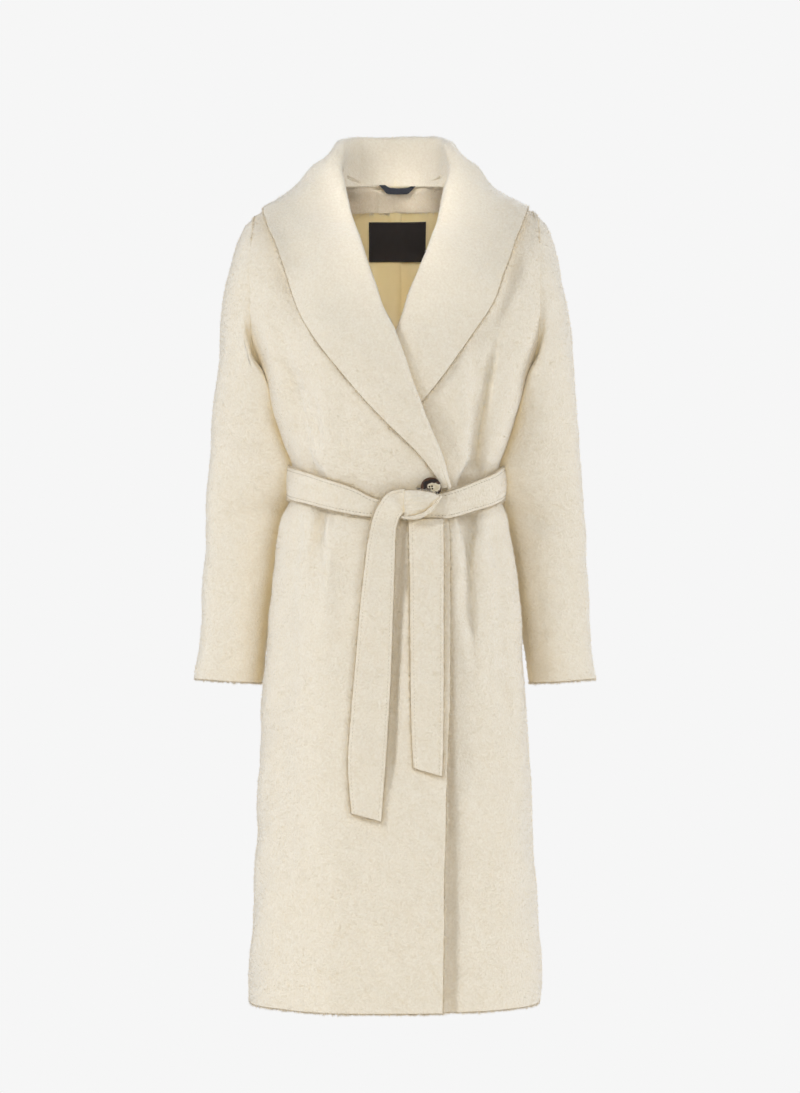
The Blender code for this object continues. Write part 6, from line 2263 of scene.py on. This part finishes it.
@dataclass
class Fastening(SubAssembly):
    """The one horn button, half hidden behind the knot, and the end of its buttonhole."""

    radius: float = 14.5 * MM
    rim_width: float = 2.6 * MM
    rim_rise: float = 0.9 * MM
    hole_radius: float = 1.15 * MM
    hole_spread: float = 2.5 * MM
    hole_depth: float = 2.6 * MM
    hole_turn: float = 53.0
    thickness: float = 4.2 * MM
    bevel: float = 1.4 * MM
    bar_length: float = 6.0 * MM
    bar_radius: float = 0.8 * MM
    plain_front: float = -0.13
    buttonhole: Path = ((417.0, 488.6), (421.5, 487.8))

    def make(self) -> None:
        """Makes the button and the bar of thread at the end of its buttonhole."""
        low, high = (np.array(corner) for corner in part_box("button"))
        middle = (low + high) / 2.0
        front = float(low[1])
        bevel = self.bevel
        ring = np.concatenate([np.linspace(0.0, 0.28, 26), np.linspace(0.3, 0.985, 18), [0.995, 1.0]])
        turn = np.linspace(0.0, 2.0 * math.pi, 97)[:-1]
        r = ring[:, None] * self.radius
        x, z = r * np.cos(turn), r * np.sin(turn)
        far = np.hypot(x, z)
        rim = np.exp(-(((self.radius - far - self.rim_width) / (0.5 * self.rim_width)) ** 2))
        past = ((far - self.radius + bevel) / bevel).clip(0.0, 1.0)
        fall = 1.0 - np.sqrt(np.clip(1.0 - past**2, 0.0, 1.0))
        y = front + self.rim_rise * (1.0 - rim) * smoothstep(1.0 - far / self.radius * 0.2)
        y = y + fall * self.thickness * 0.45
        for i in range(4):
            angle = math.radians(self.hole_turn + 90.0 * i)
            hole = np.array([math.cos(angle), math.sin(angle)]) * self.hole_spread
            gap = np.hypot(x - hole[0], z - hole[1])
            y = y + self.hole_depth * smoothstep((self.hole_radius + 0.25 * MM - gap) / (0.4 * MM))
        shown = np.stack([middle[0] + x, y, middle[2] + z], axis=-1)
        hidden = shown.copy()
        hidden[..., 1] = 2.0 * (front + 0.5 * self.thickness) - (front + fall * self.thickness * 0.45)
        hidden[-1] = shown[-1]
        number = np.arange(x.size).reshape(x.shape)
        number[0] = 0
        behind = number + x.size
        behind[-1] = number[-1]
        faces = np.concatenate([quads(joined_rings(number))[:, ::-1], quads(joined_rings(behind))])
        points = np.concatenate([shown.reshape(-1, 3), hidden.reshape(-1, 3)])
        button = mesh_object("horn_button", points, faces, self.finishes.horn)
        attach(button, BODY)
        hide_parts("button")
        log.info("%s: %d faces", button.name, len(button.data.polygons))
        self.make_bar(front)

    def make_bar(self, front: float) -> None:
        """Makes the short bar of dark thread that ends the buttonhole.

        Args:
            front: how far forward the button lies.
        """
        ends = np.array(seen(front, *self.buttonhole))
        place, share = rounded_ends(self.bar_length, self.bar_radius, 0.6 * MM)
        flat = ends[0] + (ends[1] - ends[0]) * (place / place[-1])[:, None]
        depth = self.front_surface(flat) - 0.4 * MM
        middle = np.stack([flat[:, 0], depth, flat[:, 1]], axis=1)
        side = np.tile([0.0, 0.0, 1.0], (len(middle), 1))
        bar = mesh_object("buttonhole_bar", *ring_sweep(middle, side, share * 1.0 * MM, share * 0.7 * MM),
                          self.finishes.dark_thread)
        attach(bar, BODY)
        log.info("%s: %d faces", bar.name, len(bar.data.polygons))

    def front_surface(self, flat: Array) -> Array:
        """How far forward the right front's cloth lies at each x and z.

        Args:
            flat: the x and z of each place.

        Returns:
            One y for each place.
        """
        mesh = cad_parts["right_front"].data
        tree = BVHTree.FromPolygons([tuple(v.co) for v in mesh.vertices],
                                    [tuple(p.vertices) for p in mesh.polygons])
        hits = [tree.ray_cast((x, -1.0, z), (0.0, 1.0, 0.0))[0] for x, z in flat.tolist()]
        return np.array([hit.y if hit else self.plain_front for hit in hits])


@dataclass
class Studio(SubAssembly):
    """A pale floor, soft light from all round, two narrow lights for the neck, and the camera."""

    lens: float = 139.2
    sensor: float = 36.0
    backdrop: float = 0.922
    fill: float = 0.38
    light_colour: Triple = (0.93, 0.975, 1.065)
    floor_height: float = -1.75
    floor_radius: float = 2.6
    floor_rise: float = 0.12
    chest: Triple = (0.0, 0.0, -0.45)

    def make(self) -> None:
        """Makes the floor, the lights and the camera."""
        self.make_floor()
        self.make_world()
        self.make_light("key_light", (-3.4, -3.5, 1.6), self.chest, 1.0, 86.0)
        self.make_light("front_light", (3.0, -6.3, 0.9), self.chest, 3.0, 95.0)
        self.make_light("left_light", (-5.0, 1.4, 0.6), self.chest, 3.0, 82.0)
        self.make_light("right_light", (5.0, 0.6, 0.6), self.chest, 3.0, 122.0)
        self.make_light("back_light", (1.6, 5.2, 1.6), self.chest, 2.5, 105.0)
        self.make_light("low_light", (-0.5, -3.0, -1.36), (0.0, 0.0, -0.7), 0.7, 7.0)
        self.make_spot("collar_light", (-0.12, -3.4, 0.18), (0.004, 0.06, -0.10), 3.1, 230.0)
        self.make_spot("lining_light", (-0.05, -1.2, 0.75), (0.004, 0.06, -0.085), 6.4, 88.0)
        camera = bpy.data.cameras.new("camera")
        camera.sensor_fit = "VERTICAL"
        camera.sensor_height = self.sensor
        camera.lens = self.lens
        camera.clip_end = 50.0
        holder = add_object("camera", camera)
        holder.location = CAMERA
        holder.rotation_euler = (math.pi / 2.0, 0.0, 0.0)
        bpy.context.scene.camera = holder
        bpy.context.scene.view_settings.view_transform = "Standard"

    def make_floor(self) -> None:
        """Makes the round floor, which curves up a little at its rim."""
        ring = np.linspace(0.0, 1.0, 24)
        ring[0] = 0.0001
        turn = np.linspace(0.0, 2.0 * math.pi, 97)[:-1]
        far = ring[:, None] * self.floor_radius
        rise = self.floor_rise * smoothstep((ring - 0.85) / 0.15)
        height = np.repeat((self.floor_height + rise)[:, None], len(turn), axis=1)
        points = np.stack([far * np.cos(turn), far * np.sin(turn), height], axis=-1)
        number = np.arange(height.size).reshape(height.shape)
        faces = quads(joined_rings(number))
        mesh_object("studio_floor", points.reshape(-1, 3), faces, self.finishes.paint)

    def make_world(self) -> None:
        """Makes the pale surroundings, plainer to the camera than to the coat."""
        world = bpy.data.worlds.new("studio")
        bpy.context.scene.world = world
        world.use_nodes = True
        tree = world.node_tree
        tree.nodes.clear()
        path = tree.nodes.new("ShaderNodeLightPath")
        output = tree.nodes.new("ShaderNodeOutputWorld")
        mix = tree.nodes.new("ShaderNodeMixShader")
        tree.links.new(path.outputs["Is Camera Ray"], mix.inputs[0])
        surroundings = ((self.light_colour, self.fill), (WHITE, self.backdrop))
        for i, (colour, strength) in enumerate(surroundings):
            glow = tree.nodes.new("ShaderNodeBackground")
            glow.inputs["Color"].default_value = (*colour, 1.0)
            glow.inputs["Strength"].default_value = strength
            tree.links.new(glow.outputs[0], mix.inputs[1 + i])
        tree.links.new(mix.outputs[0], output.inputs["Surface"])

    def make_light(self, name: str, place: Triple, target: Triple, size: float, power: float) -> None:
        """Makes one soft square light, aimed at a point.

        Args:
            name: its name.
            place: where it stands.
            target: what it is aimed at.
            size: the length of its side.
            power: its power in watts.
        """
        light = bpy.data.lights.new(name, "AREA")
        light.size = size
        light.energy = power
        light.color = self.light_colour
        self.aim(light, place, target)

    def make_spot(self, name: str, place: Triple, target: Triple, spread: float, power: float) -> None:
        """Makes one narrow soft-edged light for the neck.

        Args:
            name: its name.
            place: where it stands.
            target: what it is aimed at.
            spread: its whole angle in degrees.
            power: its power in watts.
        """
        light = bpy.data.lights.new(name, "SPOT")
        light.energy = power
        light.spot_size = math.radians(spread)
        light.spot_blend = 1.0
        light.shadow_soft_size = 0.1
        self.aim(light, place, target)

    @staticmethod
    def aim(light: bpy.types.Light, place: Triple, target: Triple) -> None:
        """Stands a light at its place, aimed at its target.

        Args:
            light: the light.
            place: where it stands.
            target: what it is aimed at.
        """
        holder = add_object(light.name, light)
        holder.location = place
        holder.rotation_euler = (Vector(target) - Vector(place)).to_track_quat("-Z", "Y").to_euler()


def main() -> None:
    """Builds the coat and the studio round it."""
    logging.basicConfig(level=logging.INFO, format="%(name)s: %(message)s")
    finishes, neighbours = Finishes(), Neighbours()
    for part in (Studio, Body, Sleeves, Collar, Neck, Belt, Fastening):
        part(finishes, neighbours).make()


if __name__ == "__main__":
    main()
